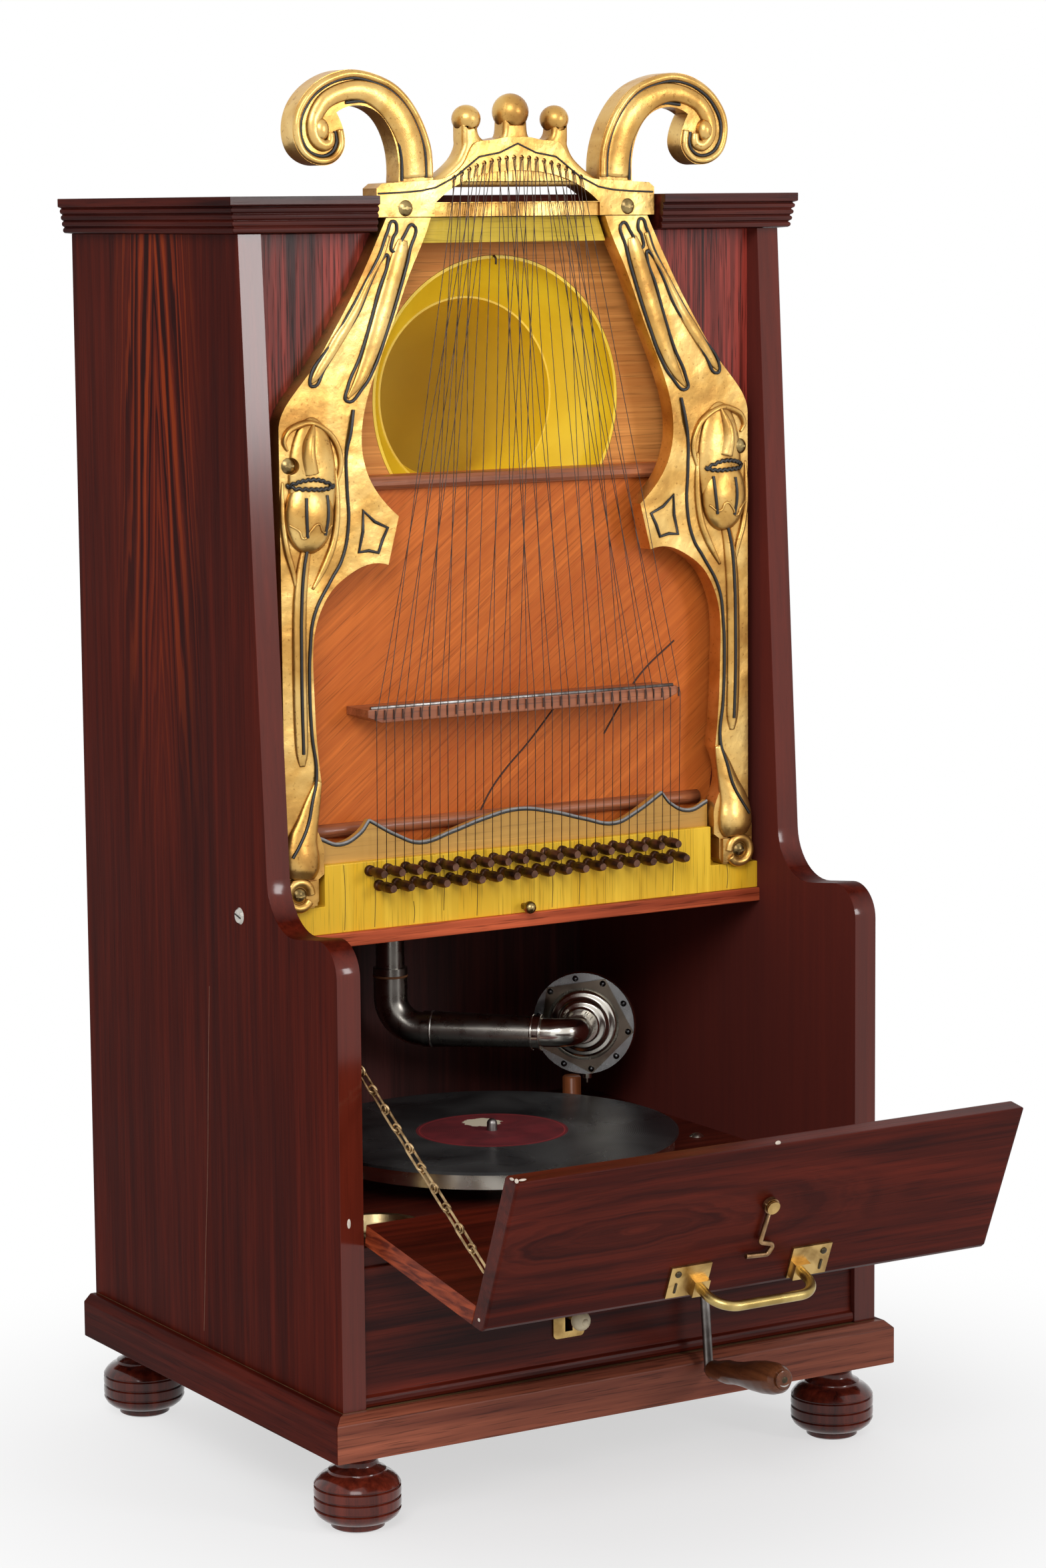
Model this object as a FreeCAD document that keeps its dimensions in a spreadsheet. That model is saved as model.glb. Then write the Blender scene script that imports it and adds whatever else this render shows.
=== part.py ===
import FreeCAD, Part
import Sketcher
import math
import os
import re

# Cabinet gramophone with harp strings in front of the horn.
# X runs to the right seen from the front, Y to the back, Z up from the floor.

os.makedirs("parts", exist_ok=True)
document = FreeCAD.newDocument("gramophone")
Vector = FreeCAD.Vector

# Driving dimensions
sizes = [
    ("cabinet_width", 405), ("side_thickness", 16.5), ("front_face", -85), ("back_face", 265),
    ("plinth_bottom", 51), ("cabinet_bottom", 80), ("cornice_height", 23), ("head_room", 15.4),
    ("cabinet_top", "=horn_height + horn_radius + head_room"),
    ("cornice_overhang", 10), ("plinth_overhang", 9.5), ("plinth_width", 42),
    ("shoulder_height", 376), ("neck_height", 365.3), ("neck_front", 1.6), ("top_front", 27.8),
    ("shoulder_radius", 22), ("neck_radius", 34), ("back_thickness", 10), ("bottom_thickness", 10),
    ("crown_front", 27), ("crown_back", 45), ("crown_half", 104),
    ("crown_rise", 9.5), ("crown_foot", "=cabinet_top + crown_rise"),
    ("cornice_gap", 106.5), ("panel_front", 39), ("panel_thickness", 12), ("panel_foot", 403),
    ("beam_front", 33), ("beam_foot", "=cabinet_top - 7"), ("beam_top", "=cabinet_top + 9"),
    ("baffle_front", 56), ("baffle_thickness", 9), ("baffle_rim", 10.6),
    ("horn_height", 693.6), ("horn_radius", 93), ("mouth_depth", 40),
    ("baffle_foot", "=horn_height - horn_radius - baffle_rim"),
    ("board_drop", 45.6), ("board_top", "=horn_height - board_drop"),
    ("board_thickness", 5), ("cap_depth", 6), ("cap_height", 10),
    ("harp_half", "=cabinet_width / 2 - side_thickness"), ("cap_half", "=harp_half * 2 / 3"),
    ("bridge_half", "=harp_half - 68"), ("bridge_front", 22), ("bridge_foot", 492), ("bridge_height", 9),
    ("block_front", 28), ("block_back", 60), ("block_top", 403), ("skirt_front", 33),
    ("arm_front", 26), ("shelf_front", 25), ("shelf_foot", 349.5), ("shelf_thickness", 9),
    ("pin_pitch", 13.2), ("pin_row_high", 397), ("pin_row_low", 387), ("pin_length", 20),
    ("string_radius", 0.25), ("motor_board_foot", 168.5), ("motor_board_thickness", 12),
    ("motor_board_front", -78), ("lower_front", -81), ("lower_thickness", 12),
    ("spindle_y", 71), ("turntable_radius", 122), ("turntable_foot", 193), ("turntable_height", 10),
    ("record_radius", 125), ("record_thickness", 2), ("spindle_radius", 4), ("spindle_top", 213),
    ("flap_gap", 1), ("flap_half", "=harp_half - flap_gap"), ("flap_thickness", 13.5),
    ("flap_depth", 134), ("flap_height", 103.5),
    ("flap_slope", 9.3), ("flap_lean", 0.231), ("flap_lap", 10.2), ("hinge_y", -83), ("hinge_z", 181),
    ("hinge_drop", 3.3), ("hinge_place", "=harp_half - 56"), ("knuckle_radius", 3),
    ("chain_wire", 0.8), ("chain_pitch", 17.4),
    ("foot_x", "=cabinet_width / 2 - 20.5"), ("foot_front", -65), ("foot_back", 235), ("foot_radius", 27.7),
    ("arm_pivot_x", 6), ("arm_pivot_y", 217), ("arm_axis_z", 250), ("arm_swing", -43),
    ("pipe_radius", 10), ("arm_reach", 100), ("box_radius", 36), ("box_offset", 26), ("box_reach", 130),
    ("rest_height", 33), ("dish_x", "=38 - harp_half"), ("dish_y", -34), ("dish_radius", 30),
    ("crank_x", 58), ("crank_z", 142), ("crank_radius", 4), ("crank_throw", 70), ("crank_front", -95),
    ("grip_length", 80), ("grip_radius", 10.5), ("grip_tilt", 9), ("lever_x", -36), ("lever_z", 117),
    ("gear_module", 1.5), ("wheel_teeth", 60), ("pinion_teeth", 12), ("crown_teeth", 40),
    ("barrel_x", 58), ("barrel_y", -5), ("barrel_radius", 38), ("handle_half", 37), ("handle_reach", 27),
    ("hook_height", 63.6), ("hook_length", 37),
]
sheet = document.addObject("Spreadsheet::Sheet", "Sizes")
for row, (alias, amount) in enumerate(sizes, 1):
    sheet.set("A%d" % row, alias)
    sheet.setAlias("B%d" % row, alias)
for row, (alias, amount) in enumerate(sizes, 1):
    sheet.set("B%d" % row, str(amount))
document.recompute()


def size(alias):
    return float(sheet.get(alias))


def cell(text):
    return re.sub(r"[a-z][a-z_]+", lambda word: "Sizes." + word.group(0), str(text))


def bind(target, bindings):
    for name, text in bindings.items():
        target.setExpression(name, cell(text))


def place(target, base, turn=None):
    if turn is not None:
        target.Placement = FreeCAD.Placement(Vector(0, 0, 0), turn)
    for axis, text in zip("xyz", base):
        target.setExpression("Placement.Base." + axis, cell(text))


def board(label, base, spans):
    box = document.addObject("Part::Box", label)
    bind(box, dict(zip(("Length", "Width", "Height"), spans)))
    place(box, base)
    return box


def round_bar(label, radius, height, base, turn=None):
    bar = document.addObject("Part::Cylinder", label)
    bind(bar, {"Radius": radius, "Height": height})
    place(bar, base, turn)
    return bar


def joined(kind, label, base, tool):
    result = document.addObject("Part::" + kind, label)
    result.Base = base
    result.Tool = tool
    return result


def mirrored(label, source):
    result = document.addObject("Part::Mirroring", label)
    result.Source = source
    result.Normal = Vector(1, 0, 0)
    return result


def outline(body, role, corners):
    sketch = body.newObject("Sketcher::SketchObject", body.Name + "_sketch")
    support = [feature for feature in body.Origin.OriginFeatures if feature.Role == role][0]
    sketch.AttachmentSupport = [(support, "")]
    sketch.MapMode = "FlatFace"
    count = len(corners)
    around = [2 * math.pi * step / count for step in range(count)]
    starts = [Vector(100 * math.cos(angle), 100 * math.sin(angle), 0) for angle in around]
    for step in range(count):
        sketch.addGeometry(Part.LineSegment(starts[step], starts[(step + 1) % count]), False)
    for step in range(count):
        sketch.addConstraint(Sketcher.Constraint("Coincident", step, 2, (step + 1) % count, 1))
    for step, corner in enumerate(corners):
        for kind, text, now in zip(("DistanceX", "DistanceY"), corner, starts[step]):
            index = sketch.addConstraint(Sketcher.Constraint(kind, -1, 1, step, 1, now))
            sketch.setExpression("Constraints[%d]" % index, cell(text))
    return sketch


def padded(label, role, corners, length, base, turn=None):
    body = document.addObject("PartDesign::Body", label)
    pad = body.newObject("PartDesign::Pad", label + "_pad")
    pad.Profile = outline(body, role, corners)
    bind(pad, {"Length": length})
    body.Tip = pad
    place(body, base, turn)
    return body


def pocketed(body, role, corners):
    pocket = body.newObject("PartDesign::Pocket", body.Name + "_pocket")
    pocket.Profile = outline(body, role, corners)
    pocket.Type = "ThroughAll"
    pocket.Midplane = True
    body.Tip = pocket
    return body


def turned(label, corners, base=(), turn=None):
    body = document.addObject("PartDesign::Body", label)
    lathe = body.newObject("PartDesign::Revolution", label + "_turning")
    sketch = outline(body, "XZ_Plane", corners)
    lathe.Profile = sketch
    lathe.ReferenceAxis = (sketch, ["V_Axis"])
    lathe.Angle = 360
    body.Tip = lathe
    place(body, base, turn)
    return body


def shaped(label, shape):
    piece = document.addObject("Part::Feature", label)
    piece.Shape = shape
    return piece


def route(points, bends):
    # Straight runs joined by tangent arcs of the given bend radius.
    edges = []
    start = points[0]
    for index in range(1, len(points) - 1):
        corner = points[index]
        back = (points[index - 1] - corner).normalize()
        ahead = (points[index + 1] - corner).normalize()
        half = back.getAngle(ahead) / 2
        bend = bends[index - 1]
        reach = bend / math.tan(half)
        middle = (back + ahead).normalize() * (bend / math.sin(half) - bend)
        first = corner + back * reach
        last = corner + ahead * reach
        edges.append(Part.makeLine(start, first))
        edges.append(Part.Arc(first, corner + middle, last).toShape())
        start = last
    edges.append(Part.makeLine(start, points[-1]))
    return Part.Wire(edges)


def swept(path, radius):
    first = path.OrderedEdges[0]
    start = first.valueAt(first.FirstParameter)
    along = first.tangentAt(first.FirstParameter)
    ring = Part.Wire([Part.makeCircle(radius, start, along)])
    return path.makePipeShell([ring], True, False)


def curve(*points):
    line = Part.BSplineCurve()
    line.interpolate([Vector(x, 0, z) for x, z in points])
    return line.toShape()


def straight(*points):
    ends = [Vector(x, 0, z) for x, z in points]
    return Part.makePolygon(ends).Edges


def gear(teeth, module, foot, height, centre, phase):
    pitch = module * teeth / 2
    turn = 2 * math.pi / teeth
    ring = []
    for tooth in range(teeth):
        middle = phase + tooth * turn
        for radius, share in ((-1.2, -0.30), (0, -0.19), (0.8, -0.10), (0.8, 0.10), (0, 0.19), (-1.2, 0.30)):
            angle = middle + share * turn
            reach = pitch + radius * module
            ring.append(Vector(reach * math.cos(angle), reach * math.sin(angle), 0))
    face = Part.Face(Part.makePolygon(ring + ring[:1]))
    solid = face.extrude(Vector(0, 0, height))
    solid.translate(Vector(centre[0], centre[1], foot))
    return solid


def upright(radius, foot, top, centre):
    return Part.makeCylinder(radius, top - foot, Vector(centre[0], centre[1], foot))


back_turn = FreeCAD.Rotation(Vector(1, 0, 0), -90)

# Cabinet case
inner = "cabinet_width / 2 - side_thickness"
outer = "cabinet_width / 2"
cheek = [("front_face", "cabinet_bottom"), ("front_face", "shoulder_height"), ("neck_front", "neck_height"),
         ("top_front", "cabinet_top"), ("back_face", "cabinet_top"), ("back_face", "cabinet_bottom")]


def side_panel(label, base):
    body = padded(label, "YZ_Plane", cheek, "side_thickness", (base, "0", "0"))
    document.recompute()
    for name, height, radius in (("neck", "neck_height", "neck_radius"),
                                 ("shoulder", "shoulder_height", "shoulder_radius")):
        tip = body.Tip
        edges = []
        for index, edge in enumerate(tip.Shape.Edges, 1):
            box = edge.BoundBox
            if box.ZLength < 0.01 and box.YLength < 0.01 and abs(box.ZMin - size(height)) < 0.01:
                edges.append("Edge%d" % index)
        rounding = body.newObject("PartDesign::Fillet", label + "_" + name)
        rounding.Base = (tip, edges)
        bind(rounding, {"Radius": radius})
        body.Tip = rounding
        document.recompute()
    return body


side_panel_left = side_panel("side_panel_left", "-cabinet_width / 2")
side_panel_right = side_panel("side_panel_right", inner)
back_panel = board("back_panel", ("-(" + inner + ")", "back_face - back_thickness", "cabinet_bottom"),
                   ("2 * (" + inner + ")", "back_thickness", "cabinet_top - cabinet_bottom"))
bottom_board = board("bottom_board", ("-cabinet_width / 2", "front_face", "cabinet_bottom - bottom_thickness"),
                     ("cabinet_width", "back_face - front_face", "bottom_thickness"))
top_board = board("top_board", ("-cabinet_width / 2", "crown_back", "cabinet_top"),
                  ("cabinet_width", "back_face - crown_back", "cornice_height"))

# Reeded cornice: a flat fillet above four half round reeds
reeds = [("0", "0")]
for reed in range(4):
    low = reed * 0.18
    step = 0.07 * reed + 0.60
    for rise, swell in ((0.02, -0.08), (0.05, 0.02), (0.10, 0.05), (0.15, 0.02), (0.18, -0.08)):
        reeds.append(("cornice_overhang * %.3f" % (step + swell), "cornice_height * %.3f" % (low + rise)))
reeds += [("cornice_overhang * 0.90", "cornice_height * 0.75"), ("cornice_overhang", "cornice_height * 0.77"),
          ("cornice_overhang", "cornice_height"), ("0", "cornice_height")]
run = "(back_face - top_front + cornice_overhang)"
cornice_right = padded("cornice_right", "XZ_Plane", reeds, run, (outer, "back_face", "cabinet_top"))
pocketed(cornice_right, "XY_Plane", [("-1", "-" + run + " - 1"), ("cornice_overhang + 1", "-" + run + " - 1"),
                                     ("cornice_overhang", "-" + run), ("0", "cornice_overhang - " + run),
                                     ("-1", "cornice_overhang - " + run)])
cornice_left = mirrored("cornice_left", cornice_right)
reach = "(cabinet_width / 2 + cornice_overhang - cornice_gap)"
depth = "crown_back - top_front"
front_reeds = [("-(" + text + ")", height) for text, height in reeds[1:-1]]
front_reeds = [(depth, "0")] + front_reeds + [(depth, "cornice_height")]
cornice_front_right = padded("cornice_front_right", "YZ_Plane", front_reeds, reach,
                             ("cornice_gap", "top_front", "cabinet_top"))
pocketed(cornice_front_right, "XY_Plane", [(reach, "-cornice_overhang"), (reach + " + 1", "-cornice_overhang"),
                                           (reach + " + 1", depth + " + 1"),
                                           (reach + " - cornice_overhang", depth + " + 1"),
                                           (reach + " - cornice_overhang", "0")])
cornice_front_left = mirrored("cornice_front_left", cornice_front_right)

# Plinth boards with a chamfered top, mitred at the front corners
tall = "(cabinet_bottom - plinth_bottom)"
edge = [("plinth_overhang", "0"), ("plinth_overhang", tall + " - 5"), ("plinth_overhang - 5", tall),
        ("0", tall), ("0", tall + " - bottom_thickness"),
        ("plinth_overhang - plinth_width", tall + " - bottom_thickness"),
        ("plinth_overhang - plinth_width", "0")]
run = "(back_face - front_face + plinth_overhang)"
plinth_right = padded("plinth_right", "XZ_Plane", edge, run, (outer, "back_face", "plinth_bottom"))
pocketed(plinth_right, "XY_Plane", [("plinth_overhang", "-" + run), ("plinth_overhang + 1", "-" + run + " - 1"),
                                    ("-plinth_width - 1", "-" + run + " - 1"),
                                    ("-plinth_width - 1", "plinth_width - " + run + " + 1 + plinth_overhang"),
                                    ("plinth_overhang - plinth_width", "plinth_width - " + run)])
plinth_left = mirrored("plinth_left", plinth_right)
front_edge = [("-(" + text + ")", height) for text, height in edge]
run = "(cabinet_width + 2 * plinth_overhang)"
plinth_front = padded("plinth_front", "YZ_Plane", front_edge, run,
                      ("-(cabinet_width / 2 + plinth_overhang)", "front_face", "plinth_bottom"))
pocketed(plinth_front, "XY_Plane", [("0", "-plinth_overhang"),
                                    ("plinth_width", "plinth_width - plinth_overhang"),
                                    ("plinth_width", "plinth_width"), ("-1", "plinth_width"),
                                    ("-1", "-plinth_overhang")])
pocketed(plinth_front, "XY_Plane", [(run, "-plinth_overhang"), (run + " + 1", "-plinth_overhang"),
                                    (run + " + 1", "plinth_width"), (run + " - plinth_width", "plinth_width"),
                                    (run + " - plinth_width", "plinth_width - plinth_overhang")])

# Turned bun feet
bun = [(0, 0), (16.5, 0), (18, 4), (24, 7), (27.5, 12), (27.7, 16), (26.6, 17.5), (27.7, 19), (27.7, 22),
       (26.6, 23.5), (27.7, 25), (27.5, 31), (25, 36), (20, 39.5), (14, 41), (11.5, 43), (11, 45.5),
       (13, 48), (20, 49.5), (20, 51), (0, 51)]
bun_corners = []
for radius, height in bun:
    bun_corners.append(("foot_radius * %.4f" % (radius / 27.7), "plinth_bottom * %.4f" % (height / 51)))
foot = turned("foot", bun_corners)
document.recompute()
feet = []
for across in (-size("foot_x"), size("foot_x")):
    for along in (size("foot_front"), size("foot_back")):
        copy = foot.Shape.copy()
        copy.translate(Vector(across, along, 0))
        feet.append(copy)
bun_feet = shaped("bun_feet", Part.makeCompound(feet))

# Upper front board with the sawn opening behind the lyre
half_opening = [(160, 409), (164, 440), (165, 540), (155, 582), (128, 600), (128, 700), (112, 740), (86, 795)]
opening = []
for x, z in half_opening + [(-x, z) for x, z in reversed(half_opening)]:
    height = "block_top + (crown_foot - block_top) * %.5f" % ((z - 403) / 408.5)
    opening.append(("harp_half * %.5f" % (x / 186), height))
panel = [("-(" + inner + ")", "panel_foot"), (inner, "panel_foot"), (inner, "cabinet_top"),
         ("-(" + inner + ")", "cabinet_top")]
front_panel = padded("front_panel", "XZ_Plane", panel, "panel_thickness",
                     ("0", "panel_front + panel_thickness", "0"))
pocketed(front_panel, "XZ_Plane", opening)
hitch_beam = padded("hitch_beam", "XZ_Plane", [("-70", "beam_foot"), ("70", "beam_foot"), ("64", "beam_top"),
                                               ("-64", "beam_top")],
                    "panel_front - beam_front", ("0", "panel_front", "0"))

# Horn: baffle, flared mouth and folded body with the tone arm socket
baffle = board("baffle", ("-(" + inner + ")", "baffle_front", "baffle_foot"),
               ("2 * (" + inner + ")", "baffle_thickness", "cabinet_top - baffle_foot"))
mouth_hole = round_bar("mouth_hole", "horn_radius", "baffle_thickness",
                       ("0", "baffle_front", "horn_height"), back_turn)
horn_baffle = joined("Cut", "horn_baffle", baffle, mouth_hole)
horn_mouth = turned("horn_mouth", [("horn_radius - 0.3", "0"), ("horn_radius - 0.3", "baffle_thickness"),
                                   ("horn_radius * 0.731", "mouth_depth"), ("horn_radius * 0.709", "mouth_depth"),
                                   ("horn_radius - 2.3", "baffle_thickness - 0.5"), ("horn_radius - 2.3", "0")],
                    ("0", "baffle_front", "horn_height"), back_turn)
pivot = Vector(size("arm_pivot_x"), size("arm_pivot_y"), 0)
mouth_end = Vector(0, size("baffle_front") + size("mouth_depth"), size("horn_height"))
shelf_top = size("shelf_foot") + size("shelf_thickness")
neck_top = shelf_top + 16.5
bend_drop = 123.6
neck_drop = mouth_end.z - bend_drop - neck_top
stations = [(0, 0, 0, 1), (0.28, 0.00, 3.6, 0.855), (0.57, 0.15, 21.6, 0.689), (0.835, 0.5, 63.6, 0.523),
            (0.975, 0.83, bend_drop, 0.357), (1, 1, bend_drop + neck_drop * 0.359, 0.193),
            (1, 1, bend_drop + neck_drop * 0.769, 0.044), (1, 1, bend_drop + neck_drop, 0)]
tilts = [0, 20, 45, 70, 85, 90, 90, 90]
bore = size("pipe_radius") + 0.06
neck_radius = bore + 3
mouth_radius = size("horn_radius") * 0.709
outer_rings = []
inner_rings = []
for (deep, aside, down, girth), tilt in zip(stations, tilts):
    centre = Vector(pivot.x * aside, mouth_end.y + (pivot.y - mouth_end.y) * deep, mouth_end.z - down)
    along = Vector(0, math.cos(math.radians(tilt)), -math.sin(math.radians(tilt)))
    radius = neck_radius + (mouth_radius - neck_radius) * girth
    outer_rings.append(Part.Wire([Part.makeCircle(radius, centre, along)]))
    inner_rings.append(Part.Wire([Part.makeCircle(radius - 1.4, centre, along)]))
bell = Part.makeLoft(outer_rings, True).cut(Part.makeLoft(inner_rings, True))
socket_foot = size("shelf_foot") - 20
socket = upright(bore + 3.4, socket_foot, neck_top + 3, pivot)
socket = socket.fuse(upright(bore + 10, size("shelf_foot") - 4, size("shelf_foot"), pivot))
bell = bell.fuse(socket).cut(upright(bore, socket_foot - 1, neck_top + 6, pivot))
horn_body = shaped("horn_body", bell.removeSplitter())

# Harp: soundboard, capping, bridge, pin block and skirt
harp_soundboard = board("harp_soundboard", ("-(" + inner + ")", "panel_front + panel_thickness", "panel_foot"),
                        ("2 * (" + inner + ")", "board_thickness", "board_top - panel_foot"))
cap = [("0", "0"), ("-cap_depth * 0.7", "cap_height * 0.1"), ("-cap_depth", "cap_height * 0.35"),
       ("-cap_depth", "cap_height * 0.65"), ("-cap_depth * 0.7", "cap_height * 0.9"), ("0", "cap_height")]
soundboard_capping = padded("soundboard_capping", "YZ_Plane", cap, "2 * cap_half",
                            ("-cap_half", "panel_front + panel_thickness", "board_top - cap_height"))
bar = [("-bridge_half", "bridge_height"), ("-bridge_half", "bridge_height * 0.45"), ("10 - bridge_half", "0"),
       ("bridge_half - 10", "0"), ("bridge_half", "bridge_height * 0.45"), ("bridge_half", "bridge_height")]
string_bridge = padded("string_bridge", "XZ_Plane", bar, "panel_front + panel_thickness - bridge_front",
                       ("0", "panel_front + panel_thickness", "bridge_foot"))
block = board("block", ("-(" + inner + ")", "block_front", "shelf_foot + shelf_thickness"),
              ("2 * (" + inner + ")", "block_back - block_front", "block_top - shelf_foot - shelf_thickness"))
notch_spans = ("40", "panel_front - block_front + 1", "40")
notch_right = board("notch_right", ("harp_half - 38", "block_front - 1", "block_top - 26.5"), notch_spans)
notch_left = board("notch_left", ("-harp_half - 2", "block_front - 1", "block_top - 26.5"), notch_spans)
pin_block = joined("Cut", "pin_block", joined("Cut", "block_cut", block, notch_right), notch_left)

foot_z = size("block_top")
wave = [(0, 427.5), (28, 423), (50, 417), (75, 411.8), (92, 418), (112, 429.2)]
tail = [(112, 429.2), (119, 421.4), (134, 415.5), (148.5, 420.5)]
rise = foot_z - 403
harp_share = size("harp_half") / 186
wave = [(x * harp_share, z + rise) for x, z in wave]
tail = [(x * harp_share, z + rise) for x, z in tail]
middle_wave = [(-x, z) for x, z in reversed(wave)] + wave[1:]
left_tail = [(-x, z) for x, z in reversed(tail)]
rim = [curve(*left_tail), curve(*middle_wave), curve(*tail)]
rim += straight(tail[-1], (tail[-1][0], foot_z), (-tail[-1][0], foot_z), left_tail[0])
skirt_face = Part.Face(Part.Wire(Part.sortEdges(rim)[0]))
skirt_solid = skirt_face.extrude(Vector(0, size("panel_front") - size("skirt_front"), 0))
skirt_solid.translate(Vector(0, size("skirt_front"), 0))
skirt_board = shaped("skirt_board", skirt_solid)

# Tuning pins in two rows and the strings they stretch
pin_profile = [("0", "0"), ("3.6", "0"), ("3.6", "pin_length * 0.12"), ("2.5", "pin_length * 0.17"),
               ("2.5", "pin_length * 0.40"), ("3.4", "pin_length * 0.46"), ("3.4", "pin_length * 0.80"),
               ("2.4", "pin_length"), ("0", "pin_length")]
pin = turned("pin", pin_profile, ("0", "block_front", "0"), FreeCAD.Rotation(Vector(1, 0, 0), 90))
document.recompute()
pitch = size("pin_pitch")
high_row = [-8.75 * pitch + pitch * step for step in range(18)]
low_row = [-8.25 * pitch + pitch * step for step in range(18)]
pins = []
for places, height in ((high_row, size("pin_row_high")), (low_row, size("pin_row_low"))):
    for across in places:
        copy = pin.Shape.copy()
        copy.translate(Vector(across, 0, height))
        pins.append(copy)
tuning_pins = shaped("tuning_pins", Part.makeCompound(pins))

hole_half = 47.5
holes = []
for step in range(18):
    across = -hole_half + 2 * hole_half * step / 17
    arch_height = 37 - 12.5 * (across / hole_half) ** 2
    holes.append(Vector(across, size("crown_front"), size("crown_foot") + arch_height))
coil = 2.5 + size("string_radius") + 0.15
neck_y = size("block_front") - 0.28 * size("pin_length")
bridge_top = size("bridge_foot") + size("bridge_height") / 2
strings = []
for step in range(18):
    block_of_three = (step // 3) % 2
    crossed = step - 3 if block_of_three else step + 3
    layer = 0.75 if block_of_three else 1.5
    for across, target, height, inset, side in ((high_row[step], holes[crossed], "pin_row_high", layer, -0.5),
                                                (low_row[step], holes[step], "pin_row_low", 2.25, 0.5)):
        bottom = Vector(across + coil, neck_y, size(height))
        bearing = Vector(across + coil, size("bridge_front") - inset + 0.2, bridge_top)
        mouth = Vector(target.x + side, target.y - 0.1 - inset * 0.3, target.z)
        inside = Vector(target.x + side, target.y + 6, target.z)
        strings.append(swept(route([bottom, bearing, mouth, inside], [8, 1.0]), size("string_radius")))
harp_strings = shaped("harp_strings", Part.makeCompound(strings))

# Lyre crown: cross bar, arch, three knobs and two scrolls, cut from one plank
base_z = size("crown_foot")
half_crown = size("crown_half")
thick = size("crown_back") - size("crown_front")
shoulder = [(62, base_z + 23), (50, base_z + 26), (39, base_z + 35), (32, base_z + 46), (20, base_z + 48),
            (8, base_z + 50), (0, base_z + 50)]
left_shoulder = [(-x, z) for x, z in reversed(shoulder)]
rim = [curve(*(shoulder + left_shoulder[1:]))]
rim += straight(left_shoulder[-1], (-half_crown + 4, base_z + 21), (-half_crown, base_z + 18),
                (-half_crown, base_z), (half_crown, base_z), (half_crown, base_z + 18),
                (half_crown - 4, base_z + 21), shoulder[0])
plank = Part.Face(Part.Wire(Part.sortEdges(rim)[0])).extrude(Vector(0, thick, 0))
arch = [(-61, base_z + 9), (-38, base_z + 23), (0, base_z + 29), (38, base_z + 23), (61, base_z + 9)]
gap = Part.Face(Part.Wire(Part.sortEdges([curve(*arch)] + straight(arch[0], arch[-1]))[0]))
plank = plank.cut(gap.extrude(Vector(0, thick, 0)))
plank = plank.cut(Part.makeBox(124, 1.6, 8.5, Vector(-62, 0, base_z)))
for across, lift, radius in ((0, 66, 11.5), (-33, 61.5, 8.2), (33, 61.5, 8.2)):
    knob = Part.makeSphere(radius, Vector(across, thick / 2, base_z + lift))
    neck = Part.makeCylinder(radius * 0.6, 20, Vector(across, thick / 2, base_z + lift - 22))
    plank = plank.fuse(knob).fuse(neck)
outside = [(62.5, 834), (64, 856), (73.5, 878), (87.5, 893), (104, 900.5), (123, 903), (145, 895.5),
           (158.5, 881.5), (162.5, 867), (158.5, 852), (147, 844.5), (134, 845.5), (126, 855), (127, 867),
           (131.5, 876.5)]
inside = [(131.5, 876.5), (124, 880), (111.5, 880.5), (100, 875), (92.5, 865), (88, 851), (87.5, 834)]
lift = base_z - 811.5
outside = [(x, z + lift) for x, z in outside]
inside = [(x, z + lift) for x, z in inside]
for side in (-1, 1):
    outer_edge = [(side * x, z) for x, z in outside]
    inner_edge = [(side * x, z) for x, z in inside]
    rim = [curve(*outer_edge), curve(*inner_edge)]
    rim += straight(inner_edge[-1], (inner_edge[-1][0], base_z + 12), (outer_edge[0][0], base_z + 12),
                    outer_edge[0])
    horn = Part.Face(Part.Wire(Part.sortEdges(rim)[0])).extrude(Vector(0, thick - 2, 0))
    horn.translate(Vector(0, 1, 0))
    plank = plank.fuse(horn)
plank.translate(Vector(0, size("crown_front"), 0))
for hole in holes:
    plank = plank.cut(Part.makeCylinder(1.7, 10, hole - Vector(0, 1, 0), Vector(0, 1, 0)))
tall_share = (base_z - foot_z) / 408.5


def stretched(points):
    # Lyre drawn for a 372 mm wide harp with its crown 408.5 mm over the pin block.
    placed = []
    for x, z in points:
        above = z - 403
        placed.append((x * harp_share, foot_z + (above * tall_share if above > 0 else above)))
    return placed


bud_screw, paw_screw = stretched([(170.5, 658), (168.5, 386)])
screw_spots = [(83.3, base_z + 5.5, size("crown_front")), (*bud_screw, size("arm_front")),
               (*paw_screw, size("arm_front") - 2)]
crown_screw = screw_spots[0]
for side in (-1, 1):
    spot = Vector(side * crown_screw[0], crown_screw[2] - 1, crown_screw[1])
    plank = plank.cut(Part.makeCylinder(2.3, 12, spot, Vector(0, 1, 0)))
lyre_crown = shaped("lyre_crown", plank.removeSplitter())

# Lyre arms: carved boards with a spur, a raised bud and a paw foot
outside = [(98, 811), (109, 789), (122.5, 764), (138, 739), (154, 716), (168, 700), (175.5, 688), (177, 678)]
paw = [(177, 678), (177, 412), (180, 403), (180, 381), (177, 377), (157, 377), (153.5, 381), (153.5, 395),
       (149.3, 398), (149.3, 408)]
ankle = [(149.3, 408), (151, 420), (156, 432), (155.5, 446), (150.5, 457.5)]
calf = [(150.5, 457.5), (153.5, 488), (154.7, 520), (153.5, 552), (147.5, 568.5), (140, 579), (128.5, 587.5),
        (117, 592.8), (99.5, 592.5)]
spur = [(99.5, 592.5), (91.5, 623)]
neck = [(91.5, 623), (103, 634), (113, 649), (117.5, 666), (116.5, 686), (111, 705), (104, 722), (96, 740),
        (88, 760), (80, 779), (72, 795), (65.5, 811)]
bud_spot, pad_spot = stretched([(154, 648), (167, 378.5)])
arm_thick = size("panel_front") - size("arm_front")


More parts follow.
